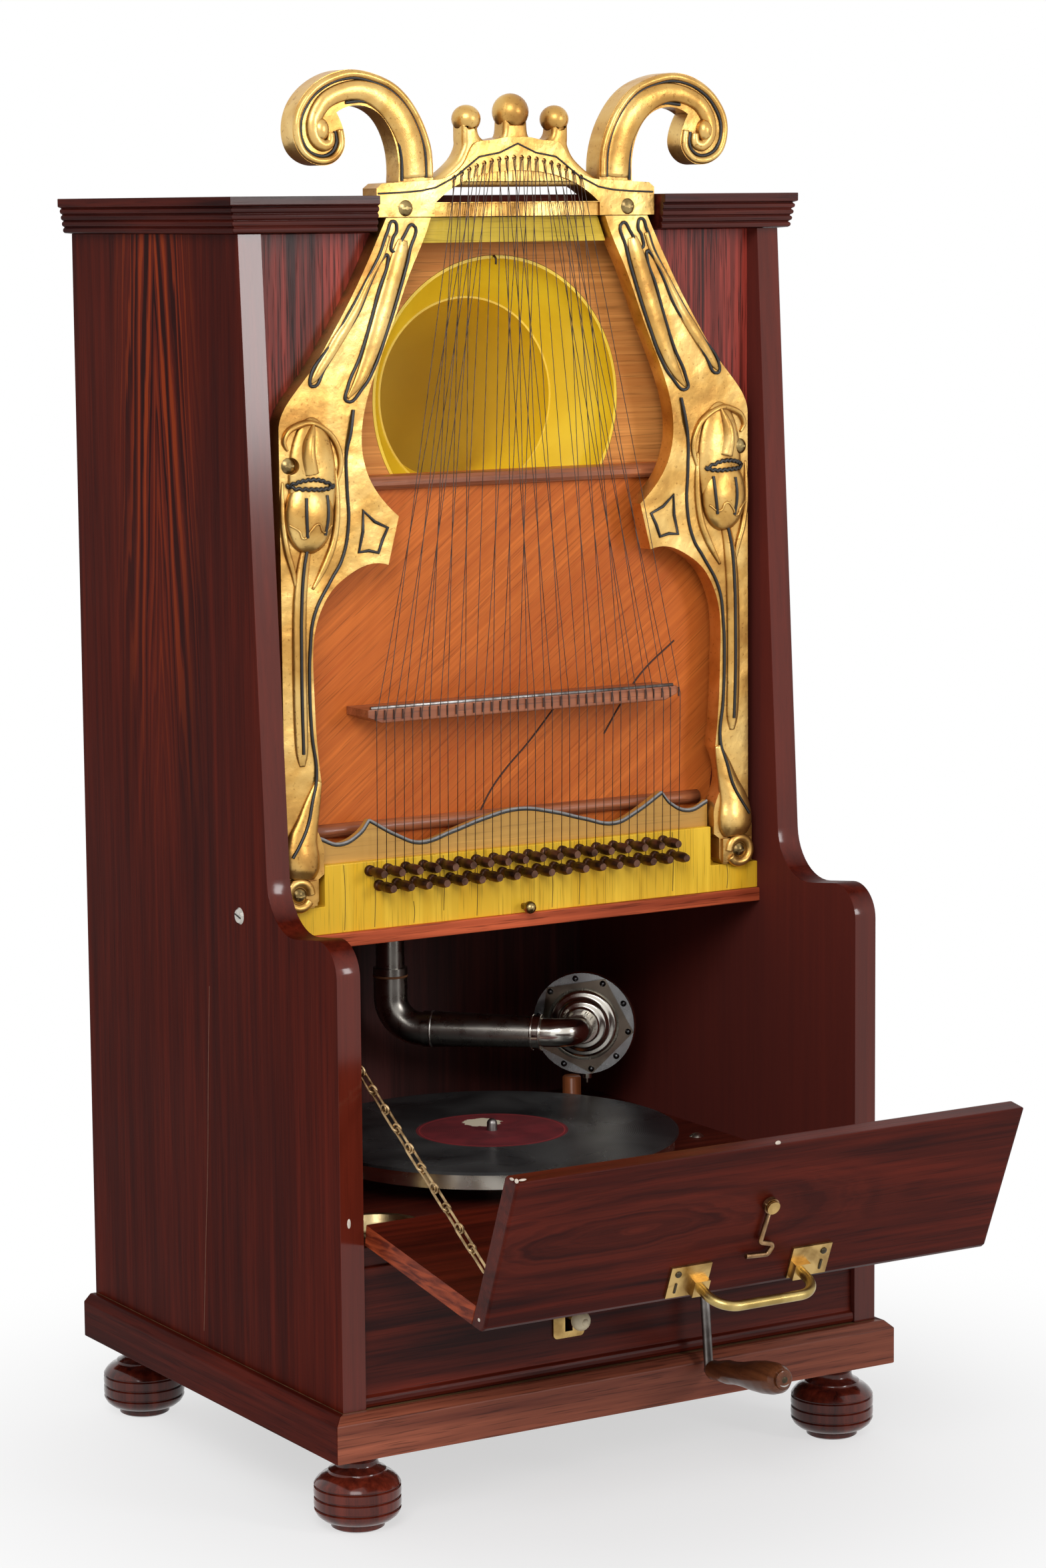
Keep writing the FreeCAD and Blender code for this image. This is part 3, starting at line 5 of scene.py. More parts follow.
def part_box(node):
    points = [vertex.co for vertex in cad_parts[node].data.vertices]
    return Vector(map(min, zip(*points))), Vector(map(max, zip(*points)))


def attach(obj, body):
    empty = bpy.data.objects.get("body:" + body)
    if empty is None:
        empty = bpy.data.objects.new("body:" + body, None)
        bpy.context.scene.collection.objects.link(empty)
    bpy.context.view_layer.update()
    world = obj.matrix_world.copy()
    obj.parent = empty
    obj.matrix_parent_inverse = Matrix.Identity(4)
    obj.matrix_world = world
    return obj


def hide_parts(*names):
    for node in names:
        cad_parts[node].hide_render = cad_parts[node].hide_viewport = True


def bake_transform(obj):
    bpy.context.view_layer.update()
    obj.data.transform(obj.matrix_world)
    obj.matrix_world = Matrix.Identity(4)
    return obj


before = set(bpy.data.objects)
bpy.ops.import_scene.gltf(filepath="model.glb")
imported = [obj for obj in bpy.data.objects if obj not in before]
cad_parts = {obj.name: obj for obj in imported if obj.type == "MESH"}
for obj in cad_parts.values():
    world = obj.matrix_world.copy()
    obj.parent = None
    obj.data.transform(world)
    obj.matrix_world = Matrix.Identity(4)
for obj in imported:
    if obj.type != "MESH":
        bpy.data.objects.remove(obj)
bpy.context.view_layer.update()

# Case sides: two solid mahogany boards sawn to a shoulder, planed and french polished.
# The grain stands upright with a flame figure high on each board; the front edges
# are rounded over, rubbed by hands and painted lighter, partly as a painted sheen; the inner faces are
# painted lighter as painted light inside the case.


def new_finish(name):
    material = bpy.data.materials.new(name)
    material.use_nodes = True
    tree = material.node_tree
    return material, tree, tree.nodes["Principled BSDF"]


def opened(material):
    tree = material.node_tree
    shader = tree.nodes["Principled BSDF"]
    return tree, shader, shader.inputs["Base Color"].links[0].from_socket


def wire(node, inputs):
    for key, value in inputs.items():
        if isinstance(value, bpy.types.NodeSocket):
            node.id_data.links.new(value, node.inputs[key])
        else:
            node.inputs[key].default_value = value


def put(tree, kind, wires=None, **settings):
    node = tree.nodes.new("ShaderNode" + kind)
    for key, value in settings.items():
        setattr(node, key, value)
    wire(node, wires or {})
    return node


def maths(tree, operation, *values):
    return put(tree, "Math", dict(enumerate(values)), operation=operation).outputs[0]


def ranged(tree, value, low, high, to_low=0.0, to_high=1.0, soft=False):
    wires = {"Value": value, "From Min": low, "From Max": high, "To Min": to_low, "To Max": to_high}
    node = put(tree, "MapRange", wires, interpolation_type="SMOOTHSTEP" if soft else "LINEAR")
    return node.outputs["Result"]


def coordinates(tree, kind="Object"):
    return put(tree, "TexCoord").outputs[kind]


def axis_of(tree, axis, kind="Object"):
    return put(tree, "SeparateXYZ", {"Vector": coordinates(tree, kind)}).outputs[axis]


def shades(tree, source, *stops):
    node = put(tree, "ValToRGB", {"Fac": source})
    node.color_ramp.elements[0].position = stops[0][0]
    node.color_ramp.elements[1].position = stops[-1][0]
    for place, colour in stops[1:-1]:
        node.color_ramp.elements.new(place)
    for element, (place, colour) in zip(node.color_ramp.elements, stops):
        element.color = (*colour, 1)
    return node.outputs["Color"]


def grain_noise(tree, along, across_scale, along_scale, detail=5.0, distortion=0.0, turn=(0, 0, 0)):
    scale = [across_scale] * 3
    scale["xyz".index(along)] = along_scale
    turned = put(tree, "Mapping", {"Vector": coordinates(tree), "Rotation": turn}).outputs["Vector"]
    stretched = put(tree, "Mapping", {"Vector": turned, "Scale": scale}).outputs["Vector"]
    wires = {"Vector": stretched, "Scale": 1.0, "Detail": detail, "Distortion": distortion}
    return put(tree, "TexNoise", wires).outputs["Fac"]


def cloud_noise(tree, scale, detail=5.0, distortion=0.0):
    return grain_noise(tree, "x", scale, scale, detail, distortion)


def growth_rings(tree, distance, pitch, detail):
    wires = {"W": distance, "Scale": pitch, "Detail": detail}
    return put(tree, "TexNoise", wires, noise_dimensions="1D").outputs["Fac"]


def blend_colours(tree, mode, amount, first, second):
    first, second = [(*colour, 1) if isinstance(colour, tuple) else colour for colour in (first, second)]
    wires = {0: amount, 6: first, 7: second}
    return put(tree, "Mix", wires, data_type="RGBA", blend_type=mode).outputs[2]


def raise_relief(tree, shader, height, strength, distance):
    bump = put(tree, "Bump", {"Height": height, "Strength": strength, "Distance": distance})
    wire(shader, {"Normal": bump.outputs["Normal"]})


def wood(name, along, dark, light, pores=0.35, polish=0.0, gloss=0.3, figure=1.2, shine=0.1, spread=0.14,
         fine=190, turn=(0, 0, 0)):
    material, tree, shader = new_finish(name)
    fibres = grain_noise(tree, along, fine, 6, detail=6, distortion=0.3, turn=turn)
    bands = grain_noise(tree, along, 24, 2.0, detail=3, distortion=figure, turn=turn)
    half = maths(tree, "MULTIPLY", maths(tree, "ADD", fibres, bands), 0.5)
    middle = [(low + high) / 2.3 for low, high in zip(dark, light)]
    grain = shades(tree, half, (0.5 - spread, dark), (0.5, middle), (0.5 + spread, light))
    pits = grain_noise(tree, along, 900, 26, detail=2, turn=turn)
    open_pore = shades(tree, pits, (0.56, (1, 1, 1)), (0.66, (0.25, 0.22, 0.2)))
    pored = blend_colours(tree, "MULTIPLY", pores, grain, open_pore)
    handled = ranged(tree, cloud_noise(tree, 9, detail=4), 0, 1, gloss - 0.08, gloss + 0.16)
    wire(shader, {"Base Color": pored, "Roughness": handled, "Specular IOR Level": shine,
                  "Coat Weight": polish, "Coat Roughness": 0.12})
    raise_relief(tree, shader, open_pore, strength=0.25 * pores, distance=0.0004)
    return material


weld_reach = 0.00002


def dress(node, finish, edge=0.0):
    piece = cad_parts[node]
    piece.data.materials.clear()
    piece.data.materials.append(finish)
    weld = piece.modifiers.new("joined corners", "WELD")
    weld.merge_threshold = weld_reach
    if edge:
        round_over = piece.modifiers.new("rounded edges", "BEVEL")
        round_over.width = edge
        round_over.segments = 3
        round_over.limit_method = "ANGLE"
        round_over.angle_limit = math.radians(40)
    return piece


deep_red = (0.022, 0.0026, 0.0020)
warm_red = (0.115, 0.012, 0.0050)
flame_red = (0.26, 0.034, 0.0065)
rubbed_sheen_red = (0.16, 0.024, 0.012)
inner_painted_light_red = (0.16, 0.036, 0.029)
heart_line = 0.145
arch_slope = 26.0
arch_rise = 2.4
edge_rub_and_sheen = 0.35
edge_polish = 0.65
mahogany_upright = wood("mahogany_upright", "z", deep_red, warm_red, pores=0.3, gloss=0.32, figure=1.0,
                        shine=0.012, spread=0.2)
tree, shader, straight_grain = opened(mahogany_upright)
from_heart = maths(tree, "ABSOLUTE", maths(tree, "SUBTRACT", axis_of(tree, "Y"), heart_line))
waver = maths(tree, "MULTIPLY", grain_noise(tree, "z", 60, 4, detail=4), 0.55)
steep = maths(tree, "MULTIPLY_ADD", from_heart, arch_slope, waver)
arches = maths(tree, "MULTIPLY_ADD", axis_of(tree, "Z"), arch_rise, steep)
rings = growth_rings(tree, arches, pitch=6.0, detail=4.0)
flame_grain = shades(tree, rings, (0.38, deep_red), (0.5, warm_red), (0.64, flame_red))
close = ranged(tree, from_heart, 0.075, 0.015, soft=True)
high_up = ranged(tree, axis_of(tree, "Z"), 0.36, 0.68, soft=True)
flame_share = maths(tree, "MULTIPLY", close, high_up)
figured = blend_colours(tree, "MIX", flame_share, straight_grain, flame_grain)
# Front edge faces are painted lighter: partly hand wear, partly a painted sheen.
front_edge = ranged(tree, axis_of(tree, "Y", "Normal"), -0.6, -0.95)
rubbed_sheen_share = maths(tree, "MULTIPLY", front_edge, edge_rub_and_sheen)
rubbed_sheen_edge = blend_colours(tree, "MIX", rubbed_sheen_share, figured, rubbed_sheen_red)
# Inner faces that turn towards the middle of the case are painted lighter: painted light inside the case.
turned_in = maths(tree, "MULTIPLY", axis_of(tree, "X", "Normal"), axis_of(tree, "X"))
inner_painted_light_share = ranged(tree, turned_in, -0.10, -0.16, to_high=0.6)
sheen_and_inner_light = blend_colours(tree, "MIX", inner_painted_light_share, rubbed_sheen_edge, inner_painted_light_red)
polished_edge = maths(tree, "MULTIPLY", front_edge, edge_polish)
wire(shader, {"Base Color": sheen_and_inner_light, "Coat Weight": polished_edge})
for cheek in ("side_panel_left", "side_panel_right"):
    dress(cheek, mahogany_upright, edge=0.004)

# Wear on the case: a shrinkage crack down the left side, chips of polish knocked off the
# cheek edge, and a plated slotted screw that holds the shelf from outside.


def plain(name, colour, rough, metallic=0.0, speckle=0.25):
    material, tree, shader = new_finish(name)
    dusk = tuple(part * (1 - speckle) for part in colour)
    clouded = shades(tree, cloud_noise(tree, 260), (0.35, dusk), (0.65, colour))
    wire(shader, {"Base Color": clouded, "Roughness": rough, "Metallic": metallic})
    return material


def added(name, data):
    piece = bpy.data.objects.new(name, data)
    bpy.context.collection.objects.link(piece)
    return piece


def placed_mesh(name, shape, finish, body="cabinet", smooth=True):
    bmesh.ops.recalc_face_normals(shape, faces=shape.faces)
    mesh = bpy.data.meshes.new(name)
    shape.to_mesh(mesh)
    shape.free()
    for face in mesh.polygons:
        face.use_smooth = smooth
    mesh.materials.append(finish)
    piece = added(name, mesh)
    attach(piece, body)
    return piece


def stroke(points, closed=False, handles="AUTO"):
    # Points are in millimetres.
    return [Vector(point) / 1000 for point in points], closed, handles


def drawn_lines(name, strokes, thick, finish, body="cabinet"):
    drawing = bpy.data.curves.new(name, "CURVE")
    drawing.dimensions = "3D"
    drawing.bevel_depth = thick / 1000
    drawing.bevel_resolution = 2
    drawing.resolution_u = 6
    drawing.use_fill_caps = True
    for points, closed, handles in strokes:
        run = drawing.splines.new("BEZIER")
        run.bezier_points.add(len(points) - 1)
        run.use_cyclic_u = closed
        for knot, point in zip(run.bezier_points, points):
            knot.co = point
            knot.handle_left_type = handles
            knot.handle_right_type = handles
    drawing.materials.append(finish)
    piece = added(name, drawing)
    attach(piece, body)
    return piece


def rounded_lump(shape, centre, radii, turn=None):
    # Centre and radii are in millimetres.
    bump = bmesh.ops.create_uvsphere(shape, u_segments=24, v_segments=14, radius=1.0)
    size = Matrix.Diagonal(Vector(radii) / 1000).to_4x4()
    place = Matrix.Translation(Vector(centre) / 1000)
    bmesh.ops.transform(shape, matrix=place @ (turn or Matrix()) @ size, verts=bump["verts"])


def lumps(name, places, finish, body="cabinet"):
    shape = bmesh.new()
    for centre, radii in places:
        rounded_lump(shape, centre, radii)
    return placed_mesh(name, shape, finish, body)


left_face = -202.4
crack = [(left_face, y, z) for y, z in ((85, 322), (89, 262), (92, 205), (97, 150), (102, 90))]
crack_wood = plain("bare_crack", (0.16, 0.06, 0.035), rough=0.8)
drawn_lines("side_crack", [stroke(crack)], thick=0.35, finish=crack_wood)
bare_wood = plain("bare_wood", (0.72, 0.62, 0.52), rough=0.8)
cheek_knocks = [((-196.4, -84.9, 199.5), (1.3, 0.35, 3.2)),
                ((-188.0, -84.2, 238), (0.8, 0.4, 1.4)),
                ((-201.0, -84.2, 291), (0.7, 0.4, 1.2))]
lumps("cheek_chips", cheek_knocks, bare_wood)
plated = plain("plated_screw", (0.55, 0.52, 0.47), rough=0.3, metallic=1.0)
screw = bmesh.new()
bmesh.ops.create_cone(screw, cap_ends=True, segments=32, radius1=0.0055, radius2=0.0042, depth=0.0016)
out_left = Matrix.Rotation(math.radians(-90), 4, "Y")
screw_seat = Matrix.Translation((-0.2032, 0.041, 0.374))
slot_face = -204.0
bmesh.ops.transform(screw, matrix=screw_seat @ out_left, verts=screw.verts)
placed_mesh("side_screw", screw, plated, "cabinet", smooth=False)
slot_line = stroke([(slot_face, 37.2, 373), (slot_face, 44.8, 375)], handles="VECTOR")
slot_shadow = plain("screw_slot", (0.02, 0.016, 0.014), rough=0.7)
drawn_lines("side_screw_slot", [slot_line], thick=0.5, finish=slot_shadow)

# Top board and reeded cornice: mahogany mouldings run with a scratch stock,
# mitred and glued round the top of the case, stopped short on either side of the lyre.
mahogany_deep = wood("mahogany_deep", "y", deep_red, (0.10, 0.012, 0.006), pores=0.4, figure=1.0, shine=0.015)
mahogany_wide = wood("mahogany_wide", "x", deep_red, (0.12, 0.017, 0.009), pores=0.55, polish=0.12,
                     gloss=0.26, figure=1.0, shine=0.2)
top_wood = wood("top_mahogany", "x", deep_red, (0.10, 0.013, 0.006), pores=0.5, gloss=0.4, figure=1.0,
                shine=0.06)
dress("top_board", top_wood, edge=0.0008)
for cornice in ("cornice_left", "cornice_right"):
    dress(cornice, mahogany_deep, edge=0.0005)
for cornice in ("cornice_front_left", "cornice_front_right"):
    dress(cornice, mahogany_wide, edge=0.0005)

# Plinth and turned feet: mahogany boards with a chamfered top, mitred in front and
# glued under the case; the feet are turned with three grooves and a neck, and pinned.
# The front board is painted lighter than the side boards: a painted sheen.
plinth_front_sheen_wood = wood("plinth_mahogany", "x", (0.10, 0.022, 0.013), (0.44, 0.125, 0.066), pores=0.6, gloss=0.32,
                   shine=0.2, spread=0.2)
dress("plinth_front", plinth_front_sheen_wood, edge=0.0008)
for plinth in ("plinth_left", "plinth_right"):
    dress(plinth, mahogany_deep, edge=0.0008)
foot_wood = wood("foot_mahogany", "z", deep_red, (0.15, 0.020, 0.009), pores=0.3, polish=0.5, gloss=0.16,
                 shine=0.15)
belly = 27.4
groove_floor = 26
foot_profile = [(0, 0), (15.5, 0), (17, 1), (17, 3.6), (18.5, 4.4), (22.5, 6), (25.6, 8.6), (27.2, 11.4)]
for groove, band in ((12.4, (27.6, 16.6)), (19.4, (27.6, 23.6)), (26.4, (26.4, 30.0))):
    foot_profile += [(belly, groove), (groove_floor, groove + 0.7), (groove_floor, groove + 1.2),
                     (belly, groove + 1.9), band]
foot_profile += [(25, 31.8), (22.4, 34), (19.2, 35.5), (18.6, 36), (18.2, 37.3), (16.2, 38.2), (14.2, 39.6),
                 (13.2, 41.8), (13.4, 44), (15, 46), (18.5, 47.4), (20, 48.2), (20.4, 49.6), (20, 51),
                 (0, 51)]
turned_feet = bmesh.new()
for across in (-182, 182):
    for along in (-65, 235):
        outline = [turned_feet.verts.new(((across + reach) / 1000, along / 1000, height / 1000))
                   for reach, height in foot_profile]
        edges = [turned_feet.edges.new(pair) for pair in zip(outline, outline[1:])]
        bmesh.ops.spin(turned_feet, geom=outline + edges, cent=(across / 1000, along / 1000, 0),
                       axis=(0, 0, 1), dvec=(0, 0, 0), angle=2 * math.pi, steps=56,
                       use_merge=True, use_duplicate=False)
bmesh.ops.remove_doubles(turned_feet, verts=turned_feet.verts, dist=weld_reach)
feet = placed_mesh("turned_feet", turned_feet, foot_wood, "cabinet")
feet.data.set_sharp_from_angle(angle=math.radians(38))
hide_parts("bun_feet")

# Back, bottom, shelf and motor boards: the back and the chamber are stained nearly black
# inside; the shelf shows its red front edge, and the motor board is polished.
dark_stain = wood("stained_back", "z", (0.036, 0.009, 0.0075), (0.11, 0.026, 0.021), gloss=0.5, shine=0.3)
dress("back_panel", dark_stain)
dress("bottom_board", wood("bottom_pine", "x", (0.10, 0.05, 0.022), (0.24, 0.13, 0.06), gloss=0.5))
shelf_wood = wood("shelf_mahogany", "x", (0.22, 0.032, 0.014), (0.66, 0.13, 0.05), pores=0.6, gloss=0.35)
dress("shelf_board", shelf_wood, edge=0.0006)
motor_wood = wood("motor_board_wood", "x", (0.03, 0.004, 0.003), (0.12, 0.019, 0.010), pores=0.4, polish=0.1)
dress("motor_board", motor_wood)

# Lower front board: mahogany with a bead along its foot, bored for the crank
# and slotted for the start lever, let in between the sides.
lower_wood = wood("lower_mahogany", "x", deep_red, (0.15, 0.019, 0.009), pores=0.45, shine=0.14)
dress("lower_front_panel", lower_wood, edge=0.0005)

# Brass fittings: cast and sheet brass, lacquer long gone, brown in the hollows;
# hinges, hook and plates are screwed on, the motor wheels turned and cut.


def metal(name, bright, dull, rough, patchy=60, scratch=0.12):
    material, tree, shader = new_finish(name)
    tarnish = cloud_noise(tree, patchy, detail=6, distortion=0.4)
    coloured = shades(tree, tarnish, (0.36, dull), (0.60, bright))
    worn = ranged(tree, cloud_noise(tree, patchy * 4, detail=4), 0, 1, rough - 0.08, rough + 0.18)
    wire(shader, {"Base Color": coloured, "Roughness": worn, "Metallic": 1.0})
    raise_relief(tree, shader, grain_noise(tree, "z", 1500, 200, detail=3), scratch, distance=0.0003)
    return material


brass = metal("old_brass", (0.62, 0.42, 0.16), (0.30, 0.18, 0.06), rough=0.3)
dress("brass_screws", metal("screw_brass", (0.40, 0.29, 0.12), (0.15, 0.10, 0.04), rough=0.26, patchy=120))
for fitting in ("lever_fittings", "hinge_leaves_fixed", "hinge_leaves_moving",
                "intermediate_wheel", "spring_barrel"):
    dress(fitting, brass)
dress("flap_fittings", brass, edge=0.0005)
dress("needle_dish", metal("dish_brass", (0.55, 0.42, 0.22), (0.22, 0.14, 0.06), rough=0.28, patchy=40))
dress("flap_handle", metal("handle_brass", (0.60, 0.45, 0.17), (0.34, 0.24, 0.08), rough=0.28, patchy=40))
dress("flap_hook", metal("hook_bronze", (0.42, 0.26, 0.13), (0.18, 0.10, 0.05), rough=0.3, patchy=90))

# Handle plates: each brass plate has a dark screw at its outer corner and a punched
# slot under it; the plates lie on the leaning front leaf of the flap.
plate_up = Vector((0, -0.38, 0.925))
plate_middle = Vector((0, -233.6, 175.0))
lean = Matrix.Rotation(math.radians(22.4), 4, "X")
screw_rise = 5
slot_size = Matrix.Diagonal((1.4, 0.5, 7, 1))
plate_screws = bmesh.new()
plate_slots = bmesh.new()
for across in (-53.5, 53.5):
    corner = plate_middle + Vector((across, 0, 0))
    rounded_lump(plate_screws, corner + plate_up * screw_rise, (2.2, 1.2, 2.2), lean)
    bar = bmesh.ops.create_cube(plate_slots, size=0.001)
    seat = Matrix.Translation((corner - plate_up * screw_rise) / 1000)
    bmesh.ops.transform(plate_slots, matrix=seat @ lean @ slot_size, verts=bar["verts"])
dark_brass = plain("dark_brass", (0.06, 0.045, 0.025), rough=0.4, metallic=0.8)
placed_mesh("handle_plate_screws", plate_screws, dark_brass, "flap")
placed_mesh("handle_plate_keyholes", plate_slots, dark_brass, "flap", smooth=False)

# Start lever: brass rod on a pin behind the board, with a turned bone knob
# pushed over its round end.
dress("start_lever", brass)
bone = plain("yellowed_bone", (0.70, 0.60, 0.40), rough=0.35, speckle=0.15)
knob = ((-36, -96.5, 117), (6.4, 6.0, 6.4))
knob_tip = ((-36, -101.8, 117), (2.4, 1.6, 2.4))
lumps("lever_knob", [knob, knob_tip], bone, "start_lever")

# Upper front board: open pored oak stained red, sawn out behind the lyre
# and let in between the sides.
oak = wood("red_oak", "z", (0.030, 0.005, 0.004), (0.37, 0.050, 0.034), pores=1.0, polish=0.05, gloss=0.32,
           figure=0.8, shine=0.22, spread=0.11, fine=420)
dress("front_panel", oak, edge=0.0006)

# Horn baffle: planed fir with fine level grain, varnished, cut round for the horn.
# A small iron nail stands over the mouth.
fir = wood("baffle_fir", "x", (0.52, 0.165, 0.036), (0.84, 0.36, 0.095), gloss=0.42, figure=0.5, spread=0.2,
           fine=520)
dress("horn_baffle", fir)
nail = stroke([(-1.4, 55.8, 786), (-1.4, 53.5, 784.5), (-1.4, 53.2, 780.5)])
nail_iron = plain("nail_iron", (0.10, 0.07, 0.05), rough=0.5, metallic=0.7)
drawn_lines("baffle_nail", [nail], thick=0.75, finish=nail_iron)

# Horn mouth and body: folded sheet iron, painted yellow and nailed to the back of the baffle; a painted
# shade dulls the yellow deeper in the throat and a painted shadow darkens it under the top of the throat.
throat_painted_shade = (0.84, 0.60, 0.085)
painted_shadow_brown = (0.40, 0.36, 0.70)
paint, tree, shader = new_finish("horn_yellow")
blotches = cloud_noise(tree, 18, detail=6, distortion=0.5)
yellow = shades(tree, blotches, (0.35, (0.86, 0.56, 0.016)), (0.65, (0.98, 0.68, 0.028)))
# Deeper in the throat the yellow is dulled: a painted shade.
inward = ranged(tree, axis_of(tree, "Y"), 0.10, 0.20)
throat = blend_colours(tree, "MIX", inward, yellow, throat_painted_shade)
# Painted shadow: the throat is darkened under its top, where the top keeps the light off.
painted_shadow_under_top = ranged(tree, axis_of(tree, "Z"), 0.66, 0.77, to_high=0.8)
throat_painted_shadow = blend_colours(tree, "MULTIPLY", maths(tree, "MULTIPLY", inward, painted_shadow_under_top), throat, painted_shadow_brown)
wire(shader, {"Base Color": throat_painted_shadow, "Roughness": 0.3})
raise_relief(tree, shader, cloud_noise(tree, 90, detail=4), strength=0.12, distance=0.001)
for bell in ("horn_mouth", "horn_body"):
    dress(bell, paint)

# Soundboard: thin spruce with slanting grain under orange varnish, with two old cracks,
# a half round capping on its upper edge and a second one along its foot.


def smooth_run(points, steps=6):
    run = []
    last = len(points) - 1
    for index in range(last):
        ends = [points[max(index - 1, 0)], points[index], points[index + 1], points[min(index + 2, last)]]
        for step in range(steps):
            t = step / steps
            run.append(tuple(0.5 * (2 * b + (c - a) * t + (2 * a - 5 * b + 4 * c - d) * t ** 2
                                    + (3 * b - a - 3 * c + d) * t ** 3) for a, b, c, d in zip(*ends)))
    run.append(tuple(points[-1]))
    return run


arc_steps = 10
root_depth = 0.8


def carved_ridge(shape, stations, front, side=1, peak=0.5):
    # Stations are across, height, half width and rise out of the front face, in millimetres.
    sections = smooth_run(stations)
    rings = []
    for index, (x, z, half, rise) in enumerate(sections):
        before = sections[max(index - 1, 0)]
        after = sections[min(index + 1, len(sections) - 1)]
        along = Vector((after[0] - before[0], after[1] - before[1])).normalized()
        ring = []
        for step in range(arc_steps + 1):
            share = math.cos(math.pi * step / arc_steps)
            across = half * share
            out = rise * max(1 - share ** 2, 0) ** peak
            ring.append((x - along.y * across, front - out, z + along.x * across))
        for share in (-1, 1):
            ring.append((x - along.y * half * share, front + root_depth, z + along.x * half * share))
        rings.append([shape.verts.new((side * px / 1000, py / 1000, pz / 1000)) for px, py, pz in ring])
    count = len(rings[0])
    for first, second in zip(rings, rings[1:]):
        for step in range(count):
            after = (step + 1) % count
            shape.faces.new((first[step], first[after], second[after], second[step]))
    shape.faces.new(rings[0])
    shape.faces.new(rings[-1])


slant = (0, math.radians(-52), 0)
spruce = wood("slant_spruce", "z", (0.46, 0.088, 0.015), (0.84, 0.225, 0.040), gloss=0.36, figure=0.4,
              shine=0.15, spread=0.25, fine=480, turn=slant)
dress("harp_soundboard", spruce)
board_face = 50.95
main_crack = [(-18.5, 425.2), (-10.7, 437.8), (2.2, 452.3), (17.8, 466.6), (38.7, 488.6)]
short_crack = [(77.8, 468.9), (92, 489), (107.1, 507.2), (134.0, 527.9)]
old_cracks = [stroke([(x, board_face, z) for x, z in line]) for line in (main_crack, short_crack)]
dark_line = plain("dark_crack", (0.05, 0.014, 0.006), rough=0.7)
drawn_lines("soundboard_cracks", old_cracks, thick=0.6, finish=dark_line)
brown_wood = wood("brown_moulding", "x", (0.20, 0.052, 0.020), (0.50, 0.165, 0.066), pores=0.5, polish=0.1,
                  shine=0.4)
dress("soundboard_capping", brown_wood)
rail_height = 421
rail_foot = 51
rail = bmesh.new()
carved_ridge(rail, [(across, rail_height, 4.6, 5) for across in (-152, 0, 152)], rail_foot)
placed_mesh("soundboard_foot_rail", rail, brown_wood, "cabinet")

# String bridge: notched hardwood bar glued across the soundboard, carrying a steel rod
# on its top; every string crosses it in a saw cut.
dress("string_bridge", brown_wood, edge=0.0008)
rod = bmesh.new()
bmesh.ops.create_cone(rod, cap_ends=True, segments=16, radius1=0.0014, radius2=0.0014, depth=0.230)
level = Matrix.Rotation(math.radians(90), 4, "Y")
rod_seat = Matrix.Translation((0, 0.0242, 0.5016))
bmesh.ops.transform(rod, matrix=rod_seat @ level, verts=rod.verts)
rod_steel = metal("rod_steel", (0.42, 0.41, 0.40), (0.20, 0.18, 0.17), rough=0.35, patchy=150)
placed_mesh("bridge_rod", rod, rod_steel, "cabinet")
cuts = bmesh.new()
pin_pitch = 13.2
pins_in_row = 18
cut_shift = 2.9
cut_face = 0.0219
cut_height = 0.4972
cut_size = Matrix.Diagonal((1.1, 0.5, 6.2, 1))
for row_start in (-8.75, -8.25):
    for step in range(pins_in_row):
        across = (row_start + step) * pin_pitch + cut_shift
        cut = bmesh.ops.create_cube(cuts, size=0.001)
        seat = Matrix.Translation((across / 1000, cut_face, cut_height))
        bmesh.ops.transform(cuts, matrix=seat @ cut_size, verts=cut["verts"])
placed_mesh("bridge_notches", cuts, dark_line, smooth=False)

# Pin block and hitch beam: hardwood painted olive yellow, cracked down the grain,
# glued in behind the lyre; the pins are driven into the block.
block_paint = wood("yellow_painted", "z", (0.86, 0.47, 0.020), (1.0, 0.64, 0.055), polish=0.1, gloss=0.42,
                   figure=0.6, spread=0.2)
dress("pin_block", block_paint, edge=0.0006)
beam_paint = wood("yellow_beam", "x", (0.58, 0.38, 0.03), (0.80, 0.57, 0.07), polish=0.1, gloss=0.42,
                  figure=0.6, spread=0.2)
dress("hitch_beam", beam_paint, edge=0.0006)
block_face = 27.95
split_bow = 0.7
splits = []
for across, foot, top in ((-134, 360, 402), (-112, 360, 402), (-83, 360, 374), (-60.6, 366, 402),
                          (-35.6, 360, 402), (22, 360, 388), (43, 360, 402), (117, 362, 402),
                          (161, 360, 376)):
    splits.append(stroke([(across, block_face, foot), (across + split_bow, block_face, (foot + top) / 2),
                          (across, block_face, top)]))
drawn_lines("block_splits", splits, thick=0.22, finish=plain("split_shadow", (0.16, 0.10, 0.015), rough=0.8))

# Gilding: gold leaf on gesso over carved limewood, warm brown where it is rubbed through, and darkened
# with painted shade in the hollows; crown and arms are screwed to the case.
gilding, tree, shader = new_finish("gilding")
leaf_clouds = cloud_noise(tree, 26, detail=8, distortion=0.6)
gold = shades(tree, leaf_clouds, (0.30, (0.40, 0.19, 0.042)), (0.45, (0.62, 0.35, 0.090)),
              (0.66, (0.84, 0.57, 0.20)))
worn = shades(tree, cloud_noise(tree, 420, detail=3), (0.62, (1, 1, 1)), (0.72, (0.36, 0.24, 0.14)))
rubbed = blend_colours(tree, "MULTIPLY", 0.6, gold, worn)
